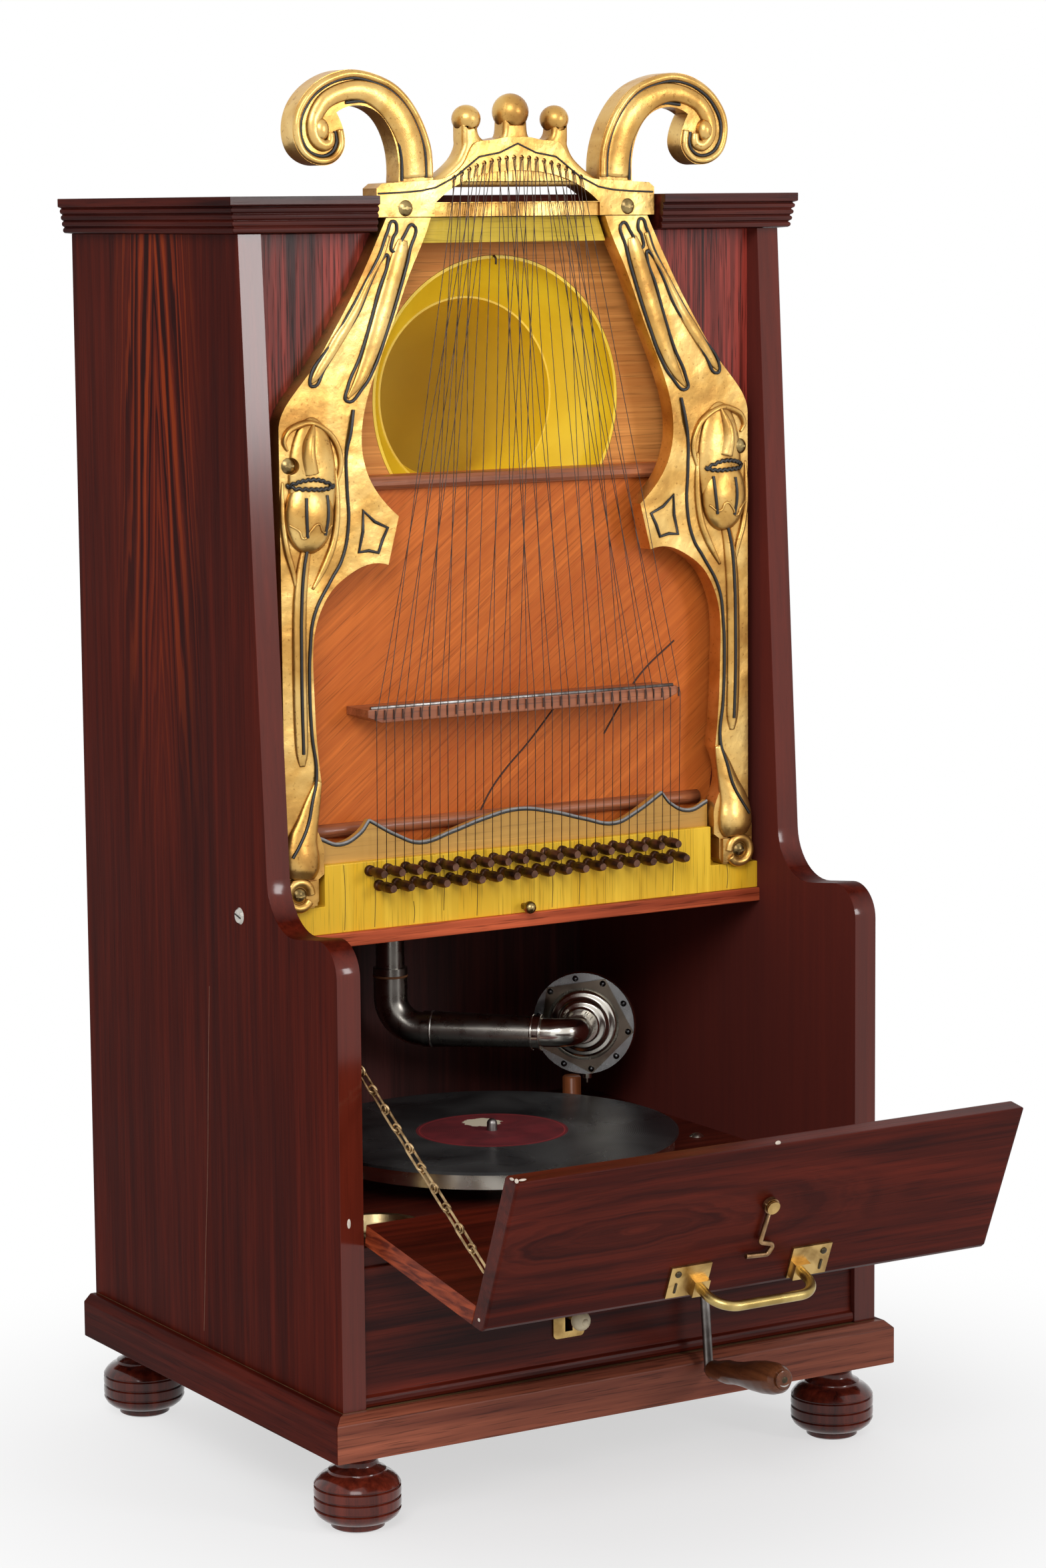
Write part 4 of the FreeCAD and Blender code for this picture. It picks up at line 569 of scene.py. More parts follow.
# Painted shade: the gold is darkened where the carving's hollows are occluded.
hollow = put(tree, "AmbientOcclusion", {"Distance": 0.016}, samples=6).outputs["AO"]
painted_hollow_shade = shades(tree, hollow, (0.30, (0.26, 0.14, 0.06)), (0.70, (0.74, 0.66, 0.55)), (0.95, (1, 1, 1)))
gold_with_painted_shade = blend_colours(tree, "MULTIPLY", 0.8, rubbed, painted_hollow_shade)
burnish = ranged(tree, leaf_clouds, 0, 1, 0.42, 0.24)
wire(shader, {"Base Color": gold_with_painted_shade, "Metallic": 0.85, "Roughness": burnish})
gouge_marks = cloud_noise(tree, 30, detail=2)
gesso = cloud_noise(tree, 110, detail=4)
uneven = maths(tree, "MULTIPLY_ADD", gesso, 0.22, gouge_marks)
raise_relief(tree, shader, uneven, strength=0.32, distance=0.006)
for carved in ("lyre_crown", "lyre_arm_left", "lyre_arm_right"):
    dress(carved, gilding, edge=0.004)

# Carving of the arms: two long leaf bands at the top, a bud with its petals and tongue,
# the stem below it, the rounded ankle and the paw, left standing by the gouge.
arm_face = 26
long_leaf = [(86, 797, 3.5, 1.2), (88.5, 789, 5.4, 2.0), (96.8, 765, 6.2, 2.2), (105.6, 740, 6.0, 2.2),
             (112.8, 722, 5, 2.0), (120.3, 708, 3.4, 1.6), (127.5, 698.8, 0.8, 0.5)]
outer_leaf = [(97, 800, 2.0, 1.2), (101.5, 787.5, 1.8, 1.6), (111, 772.5, 2.4, 1.8), (122.8, 751.5, 3.6, 2.0),
              (136, 733, 4.0, 2.0), (148.8, 715, 3.0, 1.8), (153.4, 709, 0.8, 0.5)]
bud_hood = [(171, 667.5, 0.8, 1.4), (173.6, 673, 1.6, 2.6), (170.5, 679.5, 2.0, 3.2),
            (163.5, 683, 2.2, 3.6), (156, 684.4, 2.2, 4), (147.8, 681.6, 2.2, 3.6),
            (139.5, 675.5, 2.0, 3.0), (134.6, 666.5, 2.0, 2.6), (133.4, 656.5, 1.8, 2.2),
            (136.7, 645, 1.0, 1.4)]
stem = [(158.5, 607, 3.5, 2.2), (162, 590, 4.5, 2.8), (164.3, 567, 5, 3), (165, 530, 5, 3),
        (164.8, 500, 5, 2.8), (164.2, 478, 4.5, 2.4), (164, 468, 2, 1)]
ankle = [(152.5, 458, 2.5, 1.5), (156.5, 446, 5.5, 2.5), (161, 432, 8, 3.5), (165, 420, 11, 5),
         (166, 410, 13, 6.5), (166, 402, 12.5, 6.5), (166.5, 396.5, 9.5, 4)]
inner_petal = [(137.2, 655, 0.8, 0.6), (136.4, 642, 1.8, 1.8), (136.6, 626, 2.2, 2.4), (139.4, 609, 2.4, 2.6),
               (146, 594, 2.4, 2.4), (154.5, 580, 1.0, 1.0)]
outer_petal = [(175, 648, 0.8, 0.6), (175.4, 636, 1.6, 1.6), (175, 620, 2.0, 2.2), (172.6, 605, 2.2, 2.4),
               (168.6, 592, 2.0, 2.0), (166.4, 580, 0.8, 0.8)]
tongue = [(153.4, 684.5, 1.2, 3.5), (155.5, 678.5, 3.8, 7.0), (157.8, 671, 5.6, 9.4), (158.2, 663, 6.4, 10.2),
          (156.4, 652.5, 7.2, 9.6)]
cup_centre = (157, 626)
cup_radii = (17.5, 9.0, 24.0)
swell_centre = (154, 648)
swell_radii = (17, 6, 40)
paw_face = 24.4
paw_centre = (168.5, 386)
paw_reach = 8.4
paw_turns = [math.radians(angle) for angle in range(-150, 181, 30)]
paw = [(paw_centre[0] + paw_reach * math.cos(turn), paw_centre[1] + paw_reach * math.sin(turn), 3.0, 2.9)
       for turn in paw_turns]


def bud_lift(x, z):
    lifts = []
    for centre, radii in ((cup_centre, cup_radii), (swell_centre, swell_radii)):
        inside = 1 - ((x - centre[0]) / radii[0]) ** 2 - ((z - centre[1]) / radii[2]) ** 2
        lifts.append(radii[1] * max(inside, 0) ** 0.5)
    return max(lifts)


carving = bmesh.new()
for side in (-1, 1):
    for band in (long_leaf, outer_leaf, bud_hood, stem, ankle, inner_petal, outer_petal):
        carved_ridge(carving, band, arm_face, side)
    carved_ridge(carving, tongue, arm_face, side, peak=0.9)
    rounded_lump(carving, (side * cup_centre[0], arm_face, cup_centre[1]), cup_radii)
    carved_ridge(carving, paw, paw_face, side)
placed_mesh("arm_carving", carving, gilding, "cabinet")

# Carving of the crown: a rounded bead round each scroll, the swelling body of the scroll
# running into its eye, and three knobs on thick necks that curl out of the crown.
scroll_face = 28
scroll_body = [(76, 836, 8.5, 2.4), (78, 855, 8.8, 3), (85, 871, 9, 3.2), (96, 883, 8.4, 3.2),
               (110, 889.3, 7, 3.2), (124, 889.8, 6, 3.2), (139, 884, 5.6, 3.4), (147.2, 873, 5.2, 3.6),
               (147.6, 862.5, 4.8, 3.8), (142.5, 856.5, 4.2, 3.8), (137, 858, 3.6, 3.4),
               (136.5, 864, 3.0, 3.0)]
scroll_bead = [(65, 836), (66.5, 855.5), (75.8, 876.6), (89, 891), (104.8, 898), (122.8, 900.4),
               (143.6, 893.2), (156.2, 880.2), (160, 867), (156.4, 853.6), (146.4, 847), (135.4, 847.8),
               (128.8, 855.6), (129.5, 866)]
scroll_eye = (143.5, 27.6, 866)
eye_radii = (5.6, 5.4, 7.2)
bead_half = 2.4
crown_carving = bmesh.new()
for side in (-1, 1):
    carved_ridge(crown_carving, scroll_body, scroll_face, side)
    carved_ridge(crown_carving, [(x, z, bead_half, bead_half) for x, z in scroll_bead], scroll_face, side)
    rounded_lump(crown_carving, (side * scroll_eye[0], scroll_eye[1], scroll_eye[2]), eye_radii)
crown_middle = 36
for across, height, girth in ((0, 877.5, 12.2), (-33, 873, 9.2), (33, 873, 9.2)):
    rounded_lump(crown_carving, (across, crown_middle, height), (girth, girth * 0.3 + 7.2, girth * 0.97))
neck_side = [(66, 833.6), (55.5, 838.6), (44.5, 847.5), (39.8, 855.5), (39.6, 861), (39.6, 870)]
neck_hook = [(28.0, 870), (27.4, 864), (24.4, 860.3), (18.3, 858.8), (12.4, 860.2), (9.4, 863.8), (8.6, 873)]
half_outline = [(60, 830), *smooth_run(neck_side, 4), *smooth_run(neck_hook, 4)]
neck_outline = half_outline + [(-x, z) for x, z in reversed(half_outline)]
neck_curve = bpy.data.curves.new("crown_necks", "CURVE")
neck_curve.dimensions = "2D"
neck_curve.fill_mode = "BOTH"
neck_curve.extrude = 0.0042
neck_curve.bevel_depth = 0.0036
neck_curve.bevel_resolution = 3
neck_curve.offset = -neck_curve.bevel_depth
rim_run = neck_curve.splines.new("POLY")
rim_run.points.add(len(neck_outline) - 1)
rim_run.use_cyclic_u = True
for knot, (x, z) in zip(rim_run.points, neck_outline):
    knot.co = (x / 1000, z / 1000, 0, 1)
neck_mesh = bpy.data.meshes.new_from_object(bpy.data.objects.new("crown_necks", neck_curve))
stood_up = Matrix.Rotation(math.radians(90), 4, "X")
neck_mesh.transform(Matrix.Translation((0, crown_middle / 1000, 0)) @ stood_up)
necks = bmesh.new()
necks.from_mesh(neck_mesh)
bmesh.ops.remove_doubles(necks, verts=necks.verts, dist=weld_reach)
necks.to_mesh(neck_mesh)
necks.free()
crown_carving.from_mesh(neck_mesh)
placed_mesh("crown_carving", crown_carving, gilding, "cabinet")

# Painted lines on the lyre: black outlines brushed over the gold along leaf bands,
# stem, bud, spur and scrolls, and a pointed roof line over the string holes.


def on_face(points, side, face):
    return [(side * x, face, z) for x, z in points]


def on_bud(points, side, face):
    return [(side * x, face - bud_lift(x, z), z) for x, z in points]


line_black = plain("painted_black", (0.010, 0.009, 0.008), rough=0.35)
leaf_loop = [(78.6, 806.5), (81.1, 790.9), (89.3, 764.6), (99.3, 738.1), (108.3, 717.1), (116.2, 705.5),
             (128.3, 697.2), (127.6, 705.2), (118.5, 724.4), (110.7, 745.4), (104.0, 766.2), (97.3, 784.2),
             (97.8, 788.0), (100.2, 786.6), (108.5, 773.7), (118.7, 752.8), (131.2, 735.5), (143.7, 718.1),
             (152.9, 707.0), (154.3, 711.5), (140.3, 731.5), (126.6, 750.7), (113.1, 771.7), (102.9, 788.8),
             (97.4, 802.0), (92.8, 809.0), (90.6, 803.0), (93.3, 798.3), (93.3, 789.9), (85.0, 800.2)]
inner_line = [(123.7, 691.6, 0.4), (126.6, 676.6, 1.5), (129.0, 665.1, 0.3), (129, 644.1, 0.1),
              (128.3, 619.2, 0.1), (133.5, 597.2, 0.1), (141.0, 585.6, 0.1), (153.5, 564, 0.1),
              (157.2, 540, 0.1), (157.9, 520, 0.1), (156.8, 488, 0.1), (154.2, 461, 0.6), (158.5, 445, 2.4),
              (162.5, 431, 3.6), (169, 419, 4.7), (174.5, 411, 5)]
stem_line = [(158.4, 608.5, 2.2), (161.9, 593.5, 2.8), (164.3, 567.4, 3.0), (164.9, 537.4, 3.0),
             (164.9, 507.3, 2.9), (164.1, 476, 2.3)]
cup_lines = [[(162, 638), (162.6, 626), (161.5, 613)], [(146, 639), (146.4, 627), (148.4, 614)]]
petal_edge = [(172.4, 621.3), (166.9, 617.4), (163.8, 612.5), (159.5, 617.5), (154.2, 621.5), (150.0, 616.0),
              (143, 620)]
lips = [[(172, 645.6), (167.4, 647.4), (163.2, 648.6), (157.9, 649.2), (152.6, 648.9), (147.3, 647.4),
         (140.4, 644.6)],
        [(172, 645.6), (167.5, 643.9), (161.6, 643.4), (155.9, 643.1), (150.6, 642.9), (145.3, 643.2),
         (140.4, 644.6)]]
scallop = 0.55
spur_loop = [(99.8, 616.2), (109.2, 620.4), (117.5, 627.8), (117.9, 614.6), (121, 601.6), (113.8, 602.3),
             (106.8, 600.6), (103.8, 608.6)]
scroll_outer = [(67.6, 836), (69, 855), (78, 875), (90.6, 888.8), (105.5, 895.4), (122.6, 897.6),
                (142.2, 890.8), (153.6, 878.8), (157.2, 867), (154.0, 855.4), (145.6, 850.0), (137, 851.0),
                (132.2, 857.0), (133, 865)]
scroll_inner = [(85.2, 834), (85.7, 851.5), (90.2, 866.3), (98.4, 877.2), (111, 883.2), (125, 882.6)]
thin_coat = arm_face - 0.1
outlines = []
lip_lines = []
rim_lines = []
for side in (-1, 1):
    outlines.append(stroke(on_face(leaf_loop, side, arm_face - 0.3), closed=True))
    for line in (inner_line, stem_line):
        outlines.append(stroke([(side * x, thin_coat - lift, z) for x, z, lift in line]))
    for line in cup_lines:
        outlines.append(stroke(on_bud(line, side, thin_coat)))
    for lip in lips:
        waved = [(x, z + scallop * (-1) ** step) for step, (x, z) in enumerate(smooth_run(lip, 3))]
        lip_lines.append(stroke(on_bud(waved, side, arm_face - 0.4)))
    rim_lines.append(stroke(on_bud(petal_edge, side, arm_face)))
    outlines.append(stroke(on_face(spur_loop, side, arm_face - 0.15), closed=True, handles="VECTOR"))
    outlines.append(stroke(on_face(scroll_outer, side, scroll_face - 0.3)))
    outlines.append(stroke(on_face(scroll_inner, side, scroll_face - 0.2)))
roof_face = 26.85
roof = [(103, 826.2), (86, 826.8), (72, 827.8), (61, 829.8), (46.6, 836.4), (28.8, 849), (13.6, 851.6),
        (0, 857.4)]
roof_line = on_face(roof, -1, roof_face) + on_face(reversed(roof[:-1]), 1, roof_face)
drawn_lines("painted_roof", [stroke(roof_line, handles="VECTOR")], thick=0.6, finish=line_black)
drawn_lines("painted_lines", outlines, thick=1.1, finish=line_black)
drawn_lines("painted_lips", lip_lines, thick=1.1, finish=line_black)
drawn_lines("petal_rims", rim_lines, thick=0.8, finish=gilding)

# Skirt board: thin limewood bronzed a flat ochre gold, glued over the pin block;
# its sawn wavy top is painted grey with a black line under it.
bronzed = wood("bronzed_skirt", "x", (0.50, 0.25, 0.045), (0.70, 0.39, 0.085), pores=0.25, polish=0.1,
               gloss=0.42, figure=0.8, shine=0.35, spread=0.2)
dress("skirt_board", bronzed, edge=0.0006)
skirt_wave = [(0, 427.5), (28, 423), (50, 417), (75, 411.8), (92, 418), (112, 429.2)]
skirt_tail = [(112, 429.2), (119, 421.4), (134, 415.5), (148.5, 420.5)]


def skirt_lines(drop, face):
    wave = [(x, z - drop) for x, z in skirt_wave]
    tail = [(x, z - drop) for x, z in skirt_tail]
    middle_run = on_face(reversed(wave), -1, face) + on_face(wave[1:], 1, face)
    return [stroke(middle_run), stroke(on_face(tail, -1, face)), stroke(on_face(tail, 1, face))]


edge_grey = plain("grey_edge", (0.30, 0.29, 0.28), rough=0.5)
drawn_lines("skirt_grey_edge", skirt_lines(drop=0.3, face=33.4), thick=0.9, finish=edge_grey)
drawn_lines("skirt_black_edge", skirt_lines(drop=1.5, face=32.9), thick=0.6, finish=line_black)

# Tuning pins and strings: iron pins browned with age, driven into the block,
# and plain steel wire run over the bridge to the holes in the crown.
dress("tuning_pins", metal("pin_iron", (0.15, 0.075, 0.05), (0.05, 0.025, 0.018), rough=0.42, patchy=120))
dress("harp_strings", metal("string_steel", (0.13, 0.095, 0.08), (0.05, 0.035, 0.03), rough=0.5, patchy=200))

# Flap: two mahogany leaves glued at an obtuse angle; the front leaf shows the heart of
# the plank, the floor its end grain. Edges are rounded over and chipped pale.


def vector_maths(tree, operation, *values):
    node = put(tree, "VectorMath", dict(enumerate(values)), operation=operation)
    return node.outputs["Value" if operation in ("LENGTH", "DISTANCE") else "Vector"]


flame = wood("flame_mahogany", "x", (0.020, 0.0026, 0.0020), (0.12, 0.0135, 0.006), pores=0.4, figure=2.2,
             shine=0.07, spread=0.19)
floor_wood = flame.copy()
floor_wood.name = "flap_floor_mahogany"
tree, shader, long_grain = opened(floor_wood)
sideways = maths(tree, "ABSOLUTE", axis_of(tree, "X", "Normal"))
end_share = ranged(tree, sideways, 0.6, 0.95)
end_noise = grain_noise(tree, "y", 260, 40, detail=4, distortion=0.6)
end_grain = shades(tree, end_noise, (0.38, (0.10, 0.014, 0.006)), (0.62, (0.34, 0.06, 0.02)))
wire(shader, {"Base Color": blend_colours(tree, "MIX", end_share, long_grain, end_grain)})
dress("flap_floor", floor_wood, edge=0.001)
tree, shader, long_grain = opened(flame)
heart = put(tree, "Mapping", {"Vector": coordinates(tree), "Location": (0.55, 0, -7.3),
                              "Scale": (6.0, 0, 34.0)}).outputs["Vector"]
heart_distance = vector_maths(tree, "LENGTH", heart)
heart_waver = maths(tree, "MULTIPLY_ADD", grain_noise(tree, "x", 40, 10, detail=4), 0.7, heart_distance)
heart_rings = growth_rings(tree, heart_waver, pitch=5.0, detail=3.0)
heart_grain = shades(tree, heart_rings, (0.36, (0.020, 0.0028, 0.0021)), (0.64, (0.125, 0.017, 0.008)))
heart_share = ranged(tree, heart_distance, 1.5, 0.5, to_high=0.5, soft=True)
wire(shader, {"Base Color": blend_colours(tree, "MIX", heart_share, long_grain, heart_grain)})
dress("flap_front", flame, edge=0.0016)
flap_knocks = [((-184.6, -264.5, 260.2), (1.0, 1.6, 1.4)), ((-184.8, -259.5, 260.4), (0.7, 2.2, 0.9)),
               ((-184.8, -221, 168), (0.6, 1.4, 1.2)), ((-181, -265.2, 260.6), (2.6, 0.8, 0.7)),
               ((-1.5, -265.3, 259.9), (2.0, 0.6, 1.4))]
lumps("flap_chips", flap_knocks, bare_wood, "flap")

# Stay chain: long brass wire links twisted into round eyes where they meet, hung from
# a pin in the left cheek and a screw eye in the front leaf; taut when the flap is open.


def hoop(shape, centre, axis, radius, thick):
    bar = bmesh.ops.create_circle(shape, cap_ends=False, segments=12, radius=thick)
    upright = Matrix.Rotation(math.radians(90), 4, "X")
    bmesh.ops.transform(shape, matrix=Matrix.Translation((radius, 0, 0)) @ upright, verts=bar["verts"])
    rim = list({edge for vert in bar["verts"] for edge in vert.link_edges})
    bmesh.ops.spin(shape, geom=list(bar["verts"]) + rim, cent=(0, 0, 0), axis=(0, 0, 1), dvec=(0, 0, 0),
                   angle=2 * math.pi, steps=48, use_merge=True, use_duplicate=False)
    verts = {vert for face in shape.faces for vert in face.verts if not vert.tag}
    place = Matrix.Translation(centre) @ axis.to_track_quat("Z", "Y").to_matrix().to_4x4()
    bmesh.ops.transform(shape, matrix=place, verts=list(verts))
    for vert in shape.verts:
        vert.tag = True


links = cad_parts["stay_chain"]
chain_mesh = links.data.copy()
chain_mesh.name = "stay_chain_links"
joined_chain = bmesh.new()
joined_chain.from_mesh(chain_mesh)
bmesh.ops.remove_doubles(joined_chain, verts=joined_chain.verts, dist=weld_reach)
link_step = Vector((0, 14.65, 9.35)) / 1000
first_joint = Vector((-181.8, -208.5, 207.8)) / 1000
eye_axis = Vector((1, 0.3, 0.2))
eye_count = 10
eyes = bmesh.new()
for step in range(eye_count):
    hoop(eyes, first_joint + link_step * step, eye_axis, radius=0.0030, thick=0.0008)
eye_mesh = bpy.data.meshes.new("chain_eyes")
eyes.to_mesh(eye_mesh)
eyes.free()
joined_chain.from_mesh(eye_mesh)
bmesh.ops.recalc_face_normals(joined_chain, faces=joined_chain.faces)
joined_chain.to_mesh(chain_mesh)
joined_chain.free()
chain_mesh.materials.clear()
chain_brass = metal("chain_brass", (0.50, 0.35, 0.18), (0.22, 0.14, 0.065), rough=0.3, patchy=120)
chain_mesh.materials.append(chain_brass)
chain = added("stay_chain_links", chain_mesh)
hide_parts("stay_chain")
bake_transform(chain)

# Turntable and motor: nickelled rim, iron frame under the board, steel spindle and
# arbors; the screws of the motor board are plated.
nickel = metal("worn_nickel", (0.78, 0.73, 0.64), (0.52, 0.47, 0.39), rough=0.24, patchy=30)
for plated_piece in ("stylus_bar", "board_screws"):
    dress(plated_piece, nickel)
rim_nickel = metal("rim_nickel", (0.90, 0.85, 0.75), (0.66, 0.60, 0.50), rough=0.2, patchy=14, scratch=0.04)
dress("turntable", rim_nickel)
steel = metal("dull_steel", (0.36, 0.34, 0.32), (0.14, 0.12, 0.11), rough=0.38)
for steel_piece in ("spindle", "winding_arbor", "mainspring", "governor", "crank_arm"):
    dress(steel_piece, steel)
dress("motor_frame", metal("black_japan", (0.03, 0.03, 0.03), (0.015, 0.015, 0.015), rough=0.4))

# Record: pressed black shellac with a maroon paper label, a lighter border ring,
# and a pale patch where the paper is torn; dust lies in the grooves, and grey clouds of painted reflection
# haze lie over the black.
label_edge = 0.051
ring_radius = 0.0487
ring_half = 0.0005
ring_red = (0.30, 0.020, 0.022)
patch_centre = (0.006, 0.024, 0)
patch_radius = 0.0125
bare_paper = (0.80, 0.71, 0.52)
dust_grey = (0.20, 0.20, 0.19)
groove_pitch = 0.0014
shellac, tree, shader = new_finish("shellac_record")
middle = [(low + high) / 2 for low, high in zip(*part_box("record_disc"))]
centred = vector_maths(tree, "SUBTRACT", coordinates(tree), middle)
flat = vector_maths(tree, "MULTIPLY", centred, (1, 1, 0))
radius = vector_maths(tree, "LENGTH", flat)
on_label = maths(tree, "LESS_THAN", radius, label_edge)
paper = cloud_noise(tree, 60, distortion=0.5)
maroon = shades(tree, paper, (0.35, (0.10, 0.006, 0.010)), (0.65, (0.17, 0.012, 0.017)))
from_ring = maths(tree, "ABSOLUTE", maths(tree, "SUBTRACT", radius, ring_radius))
on_ring = maths(tree, "LESS_THAN", from_ring, ring_half)
ringed = blend_colours(tree, "MIX", on_ring, maroon, ring_red)
from_patch = vector_maths(tree, "DISTANCE", flat, patch_centre)
ragged = ranged(tree, cloud_noise(tree, 240), 0, 1, -0.005, 0.005)
on_patch = maths(tree, "LESS_THAN", maths(tree, "ADD", from_patch, ragged), patch_radius)
label = blend_colours(tree, "MIX", on_patch, ringed, bare_paper)
# Painted reflection: grey haze clouds over the black shellac.
painted_haze_clouds = cloud_noise(tree, 16, distortion=0.8)
painted_reflection_haze = shades(tree, painted_haze_clouds, (0.40, (0.014, 0.014, 0.015)), (0.68, (0.062, 0.062, 0.062)))
flecks = shades(tree, cloud_noise(tree, 1400, detail=2), (0.68, (0, 0, 0)), (0.78, (1, 1, 1)))
haze_and_dust = blend_colours(tree, "MIX", flecks, painted_reflection_haze, dust_grey)
labelled = blend_colours(tree, "MIX", on_label, haze_and_dust, label)
turns = maths(tree, "MULTIPLY", radius, 2 * math.pi / groove_pitch)
raise_relief(tree, shader, maths(tree, "SINE", turns), strength=0.2, distance=0.0002)
disc_rough = ranged(tree, cloud_noise(tree, 14, detail=4, distortion=0.6), 0, 1, 0.16, 0.42)
dull_label = maths(tree, "MULTIPLY", on_label, 0.4)
wire(shader, {"Base Color": labelled, "Roughness": maths(tree, "ADD", disc_rough, dull_label)})
dress("record_disc", shellac)

# Tone arm: drawn tube hung in the horn socket, bent and soldered to the level arm;
# the plating is painted dark, partly dulled with wear and partly a painted dark reflection, and the solder
# seam stays bright over a leather washer.
nickel_with_painted_dark_reflection = metal("nickel_with_painted_dark_reflection", (0.34, 0.32, 0.29), (0.29, 0.27, 0.24), rough=0.24, patchy=30,
                    scratch=0.03)
dress("tone_arm", nickel_with_painted_dark_reflection)
swing = math.radians(-43)
hub = Vector((0.006, 0.217, 0.250))
ahead = Vector((math.cos(swing), math.sin(swing), 0))
beside = Vector((-math.sin(swing), math.cos(swing), 0))
upward = Vector((0, 0, 1))
solder = metal("bright_solder", (0.85, 0.83, 0.78), (0.45, 0.42, 0.36), rough=0.3, patchy=300, scratch=0.5)
seam_along = 0.030
seam = bmesh.new()
hoop(seam, hub + ahead * seam_along, ahead, radius=0.0124, thick=0.0008)
placed_mesh("arm_solder_seam", seam, solder, "tone_arm")
washer_height = 0.0372
washer = bmesh.new()
hoop(washer, hub + upward * washer_height, upward, radius=0.0112, thick=0.0011)
placed_mesh("arm_leather_washer", washer, plain("old_leather", (0.36, 0.15, 0.06), rough=0.7), "tone_arm")

# Gooseneck and sound box: polished nickel castings turned in steps, with a five sided
# plate held on the flange by ten dark screws and two bright beads round the collar.
bright_nickel = metal("bright_nickel", (0.74, 0.70, 0.63), (0.58, 0.54, 0.47), rough=0.13, patchy=30,
                      scratch=0.03)
for polished in ("gooseneck", "sound_box"):
    dress(polished, bright_nickel)
collar = bmesh.new()
for along in (0.1012, 0.1068):
    hoop(collar, hub + ahead * along, ahead, radius=0.0120, thick=0.0007)
placed_mesh("gooseneck_beads", collar, bright_nickel, "sound_box")
box_along = 0.130
box_out = 0.026
box_centre = hub + ahead * box_along + beside * box_out
box_frame = Matrix((ahead, upward, beside)).transposed().to_4x4()
corner_turn = math.radians(-8)
flange_reach = 0.0359
dome_reach = 0.0257
ring_steps = 80


def flat_ring(name, corners, front, thick, finish):
    shape = bmesh.new()
    rings = []
    for step in range(ring_steps):
        around_turn = 2 * math.pi * step / ring_steps
        half_side = math.pi / corners
        from_side = around_turn % (2 * half_side) - half_side
        reach = flange_reach * math.cos(half_side) / math.cos(from_side)
        angle = corner_turn + around_turn
        around = Vector((math.cos(angle), math.sin(angle), 0))
        rings.append([shape.verts.new(around * size + upward * front) for size in (reach, dome_reach)])
    for first, second in zip(rings, rings[1:] + rings[:1]):
        shape.faces.new((first[0], second[0], second[1], first[1]))
    raised = bmesh.ops.extrude_face_region(shape, geom=list(shape.faces))
    moved = [item for item in raised["geom"] if isinstance(item, bmesh.types.BMVert)]
    bmesh.ops.translate(shape, vec=(0, 0, thick), verts=moved)
    bmesh.ops.transform(shape, matrix=Matrix.Translation(box_centre) @ box_frame, verts=shape.verts)
    return placed_mesh(name, shape, finish, "sound_box", smooth=False)


plate_front = 0.0084
flange_front = 0.0098
flange_thick = 0.0024
round_corners = 40
plate_corners = 5
screw_count = 2 * plate_corners
head_radii = (2.2, 2.2, 2.2)
pale_nickel = metal("pale_nickel", (0.44, 0.45, 0.45), (0.30, 0.30, 0.30), rough=0.2, patchy=40, scratch=0.04)
flat_ring("sound_box_flange", round_corners, flange_front, flange_thick, pale_nickel)
warm_nickel = metal("warm_nickel", (0.25, 0.205, 0.16), (0.16, 0.13, 0.10), rough=0.16, patchy=40,
                    scratch=0.03)
flat_ring("sound_box_plate", plate_corners, plate_front, flange_front - plate_front, warm_nickel)
screw_reach = 0.0323
screw_heads = []
for step in range(screw_count):
    angle = corner_turn + 2 * math.pi * step / screw_count
    seat = plate_front if step % 2 == 0 else flange_front
    outward = ahead * math.cos(angle) + upward * math.sin(angle)
    spot = box_centre + outward * screw_reach + beside * seat
    screw_heads.append((spot * 1000, head_radii))
dark_steel = metal("blued_screws", (0.10, 0.10, 0.105), (0.03, 0.03, 0.03), rough=0.2, patchy=90)
lumps("sound_box_screws", screw_heads, dark_steel, "sound_box")

# Crank grip and sound box rest: turned fruitwood, waxed and dark with handling;
# the grip spins on its pin, the rest post is glued into the motor board.
turned_wood = wood("turned_fruitwood", "y", (0.05, 0.014, 0.006), (0.19, 0.06, 0.022), pores=0.3,
                   polish=0.4, gloss=0.28)
dress("crank_grip", turned_wood)
grip_tip = (58, -186.6, 85.4)
pin_tip = (58, -187.0, 85.4)
lumps("grip_end_cap", [(grip_tip, (6.2, 0.9, 6.2))], turned_wood, "crank_grip")
lumps("grip_end_pin", [(pin_tip, (2.4, 1.0, 2.4))], dark_brass, "crank_grip")
rest_wood = wood("rest_wood", "z", (0.12, 0.03, 0.010), (0.30, 0.09, 0.03), pores=0.3, polish=0.2, gloss=0.35)
dress("sound_box_rest", rest_wood)

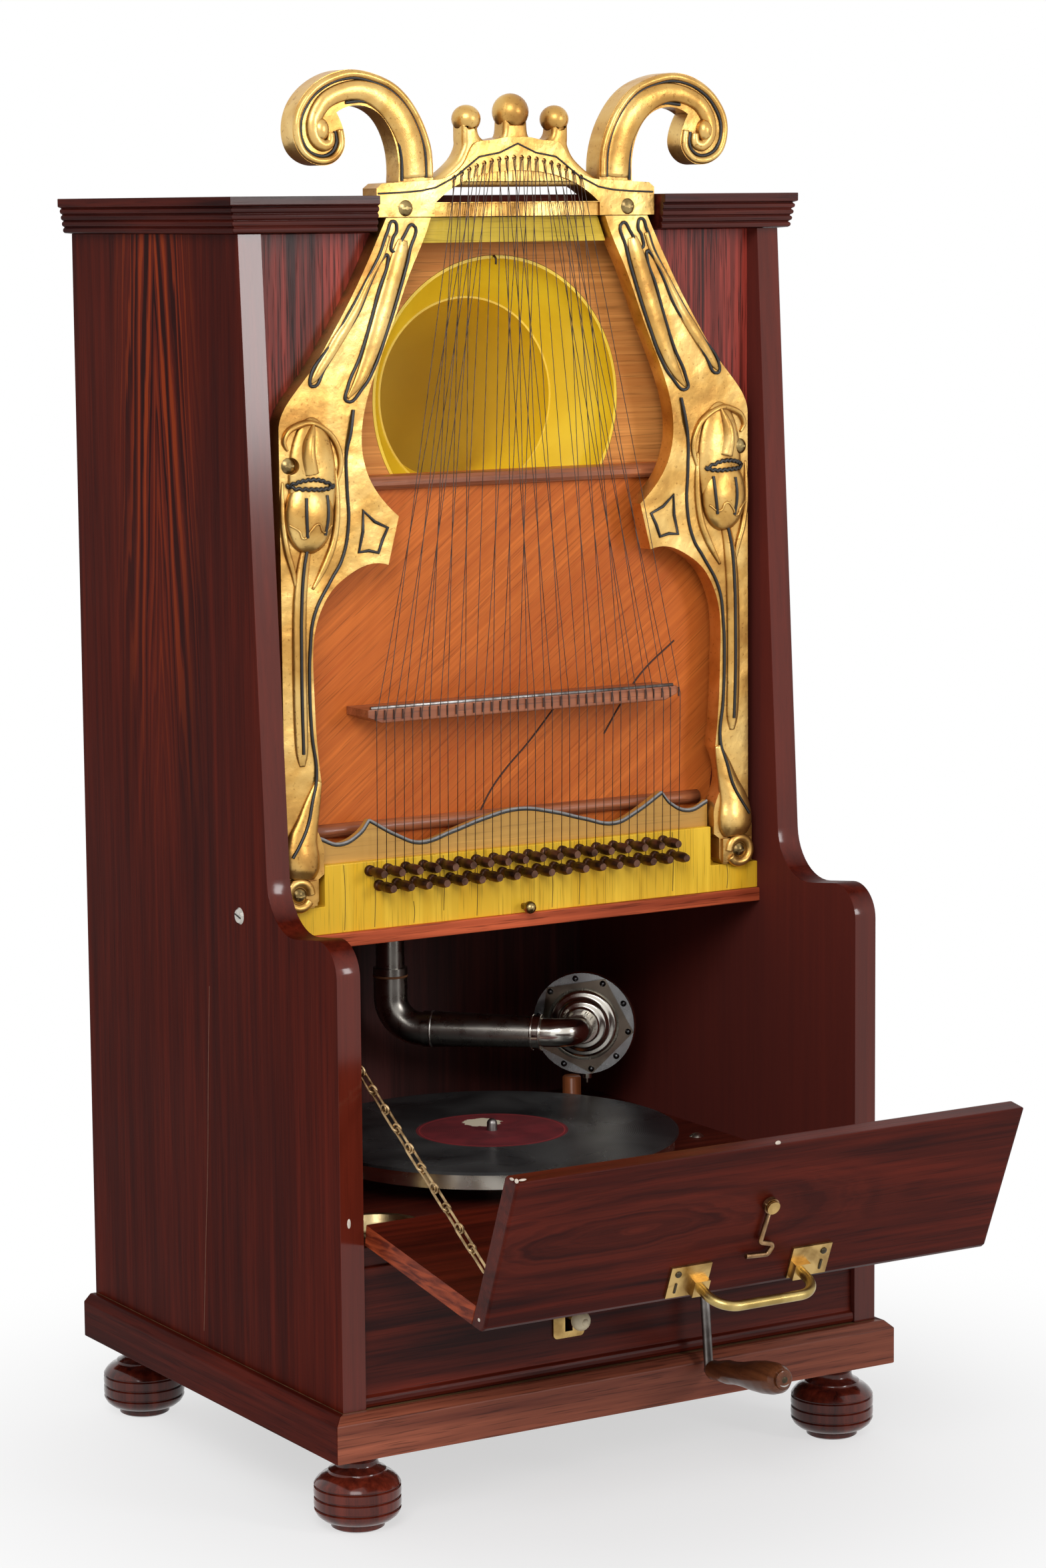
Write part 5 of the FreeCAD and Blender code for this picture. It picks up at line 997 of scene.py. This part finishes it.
# Studio: pale floor fading to a white ground, a broad soft lamp and a narrow one,
# and the camera where the photograph was taken.
floor_mesh = bpy.data.meshes.new("floor")
ground = bmesh.new()
bmesh.ops.create_grid(ground, x_segments=1, y_segments=1, size=12)
ground.to_mesh(floor_mesh)
ground.free()
floor = added("floor", floor_mesh)
pale, tree, shader = new_finish("pale_floor")
wire(shader, {"Base Color": (0.86, 0.86, 0.86, 1), "Roughness": 0.8})
fade = ranged(tree, vector_maths(tree, "LENGTH", coordinates(tree)), 0.15, 0.6, to_low=0.6, soft=True)
seen = put(tree, "LightPath").outputs
rays = maths(tree, "MAXIMUM", seen["Is Camera Ray"], seen["Is Glossy Ray"])
white = put(tree, "Emission", {"Strength": 1.0}).outputs["Emission"]
mixed = put(tree, "MixShader", {0: maths(tree, "MULTIPLY", fade, rays), 1: shader.outputs["BSDF"], 2: white})
wire(tree.nodes["Material Output"], {"Surface": mixed.outputs["Shader"]})
floor_mesh.materials.append(pale)
world = bpy.data.worlds.new("studio")
world.use_nodes = True
bpy.context.scene.world = world
tree = world.node_tree
seen = put(tree, "LightPath").outputs
rays = maths(tree, "MAXIMUM", seen["Is Camera Ray"], seen["Is Glossy Ray"])
rays = maths(tree, "MAXIMUM", rays, seen["Is Transmission Ray"])
wire(tree.nodes["Background"], {"Color": (1, 1, 1, 1), "Strength": ranged(tree, rays, 0, 1, to_low=0.5)})


def soft_lamp(name, spot, target, width, height, power):
    lamp = bpy.data.lights.new(name, "AREA")
    lamp.shape = "RECTANGLE"
    lamp.size = width
    lamp.size_y = height
    lamp.energy = power
    holder = added(name, lamp)
    holder.location = spot
    holder.rotation_euler = (Vector(target) - Vector(spot)).to_track_quat("-Z", "Y").to_euler()


soft_lamp("key_lamp", (-1.8, -2.4, 2.3), (0, 0, 0.45), width=1.6, height=1.6, power=60)
soft_lamp("strip_lamp", (1.2, -2.63, 1.2), (-0.1, 0, 0.75), width=0.5, height=0.8, power=18)
yaw = 0.5476
pitch = 0.1376
roll = -0.0086
forward = Vector((math.sin(yaw) * math.cos(pitch), math.cos(yaw) * math.cos(pitch), -math.sin(pitch)))
level_right = Vector((math.cos(yaw), -math.sin(yaw), 0))
level_up = level_right.cross(forward)
right = level_right * math.cos(roll) + level_up * math.sin(roll)
up = level_up * math.cos(roll) - level_right * math.sin(roll)
photo_camera = bpy.data.cameras.new("photo_camera")
photo_camera.lens = 96.07
stand = added("photo_camera", photo_camera)
stand.matrix_world = Matrix((right, up, -forward)).transposed().to_4x4()
stand.location = (-1.40926, -2.28365, 0.81866)
bpy.context.scene.camera = stand
bpy.context.scene.view_settings.view_transform = "Standard"
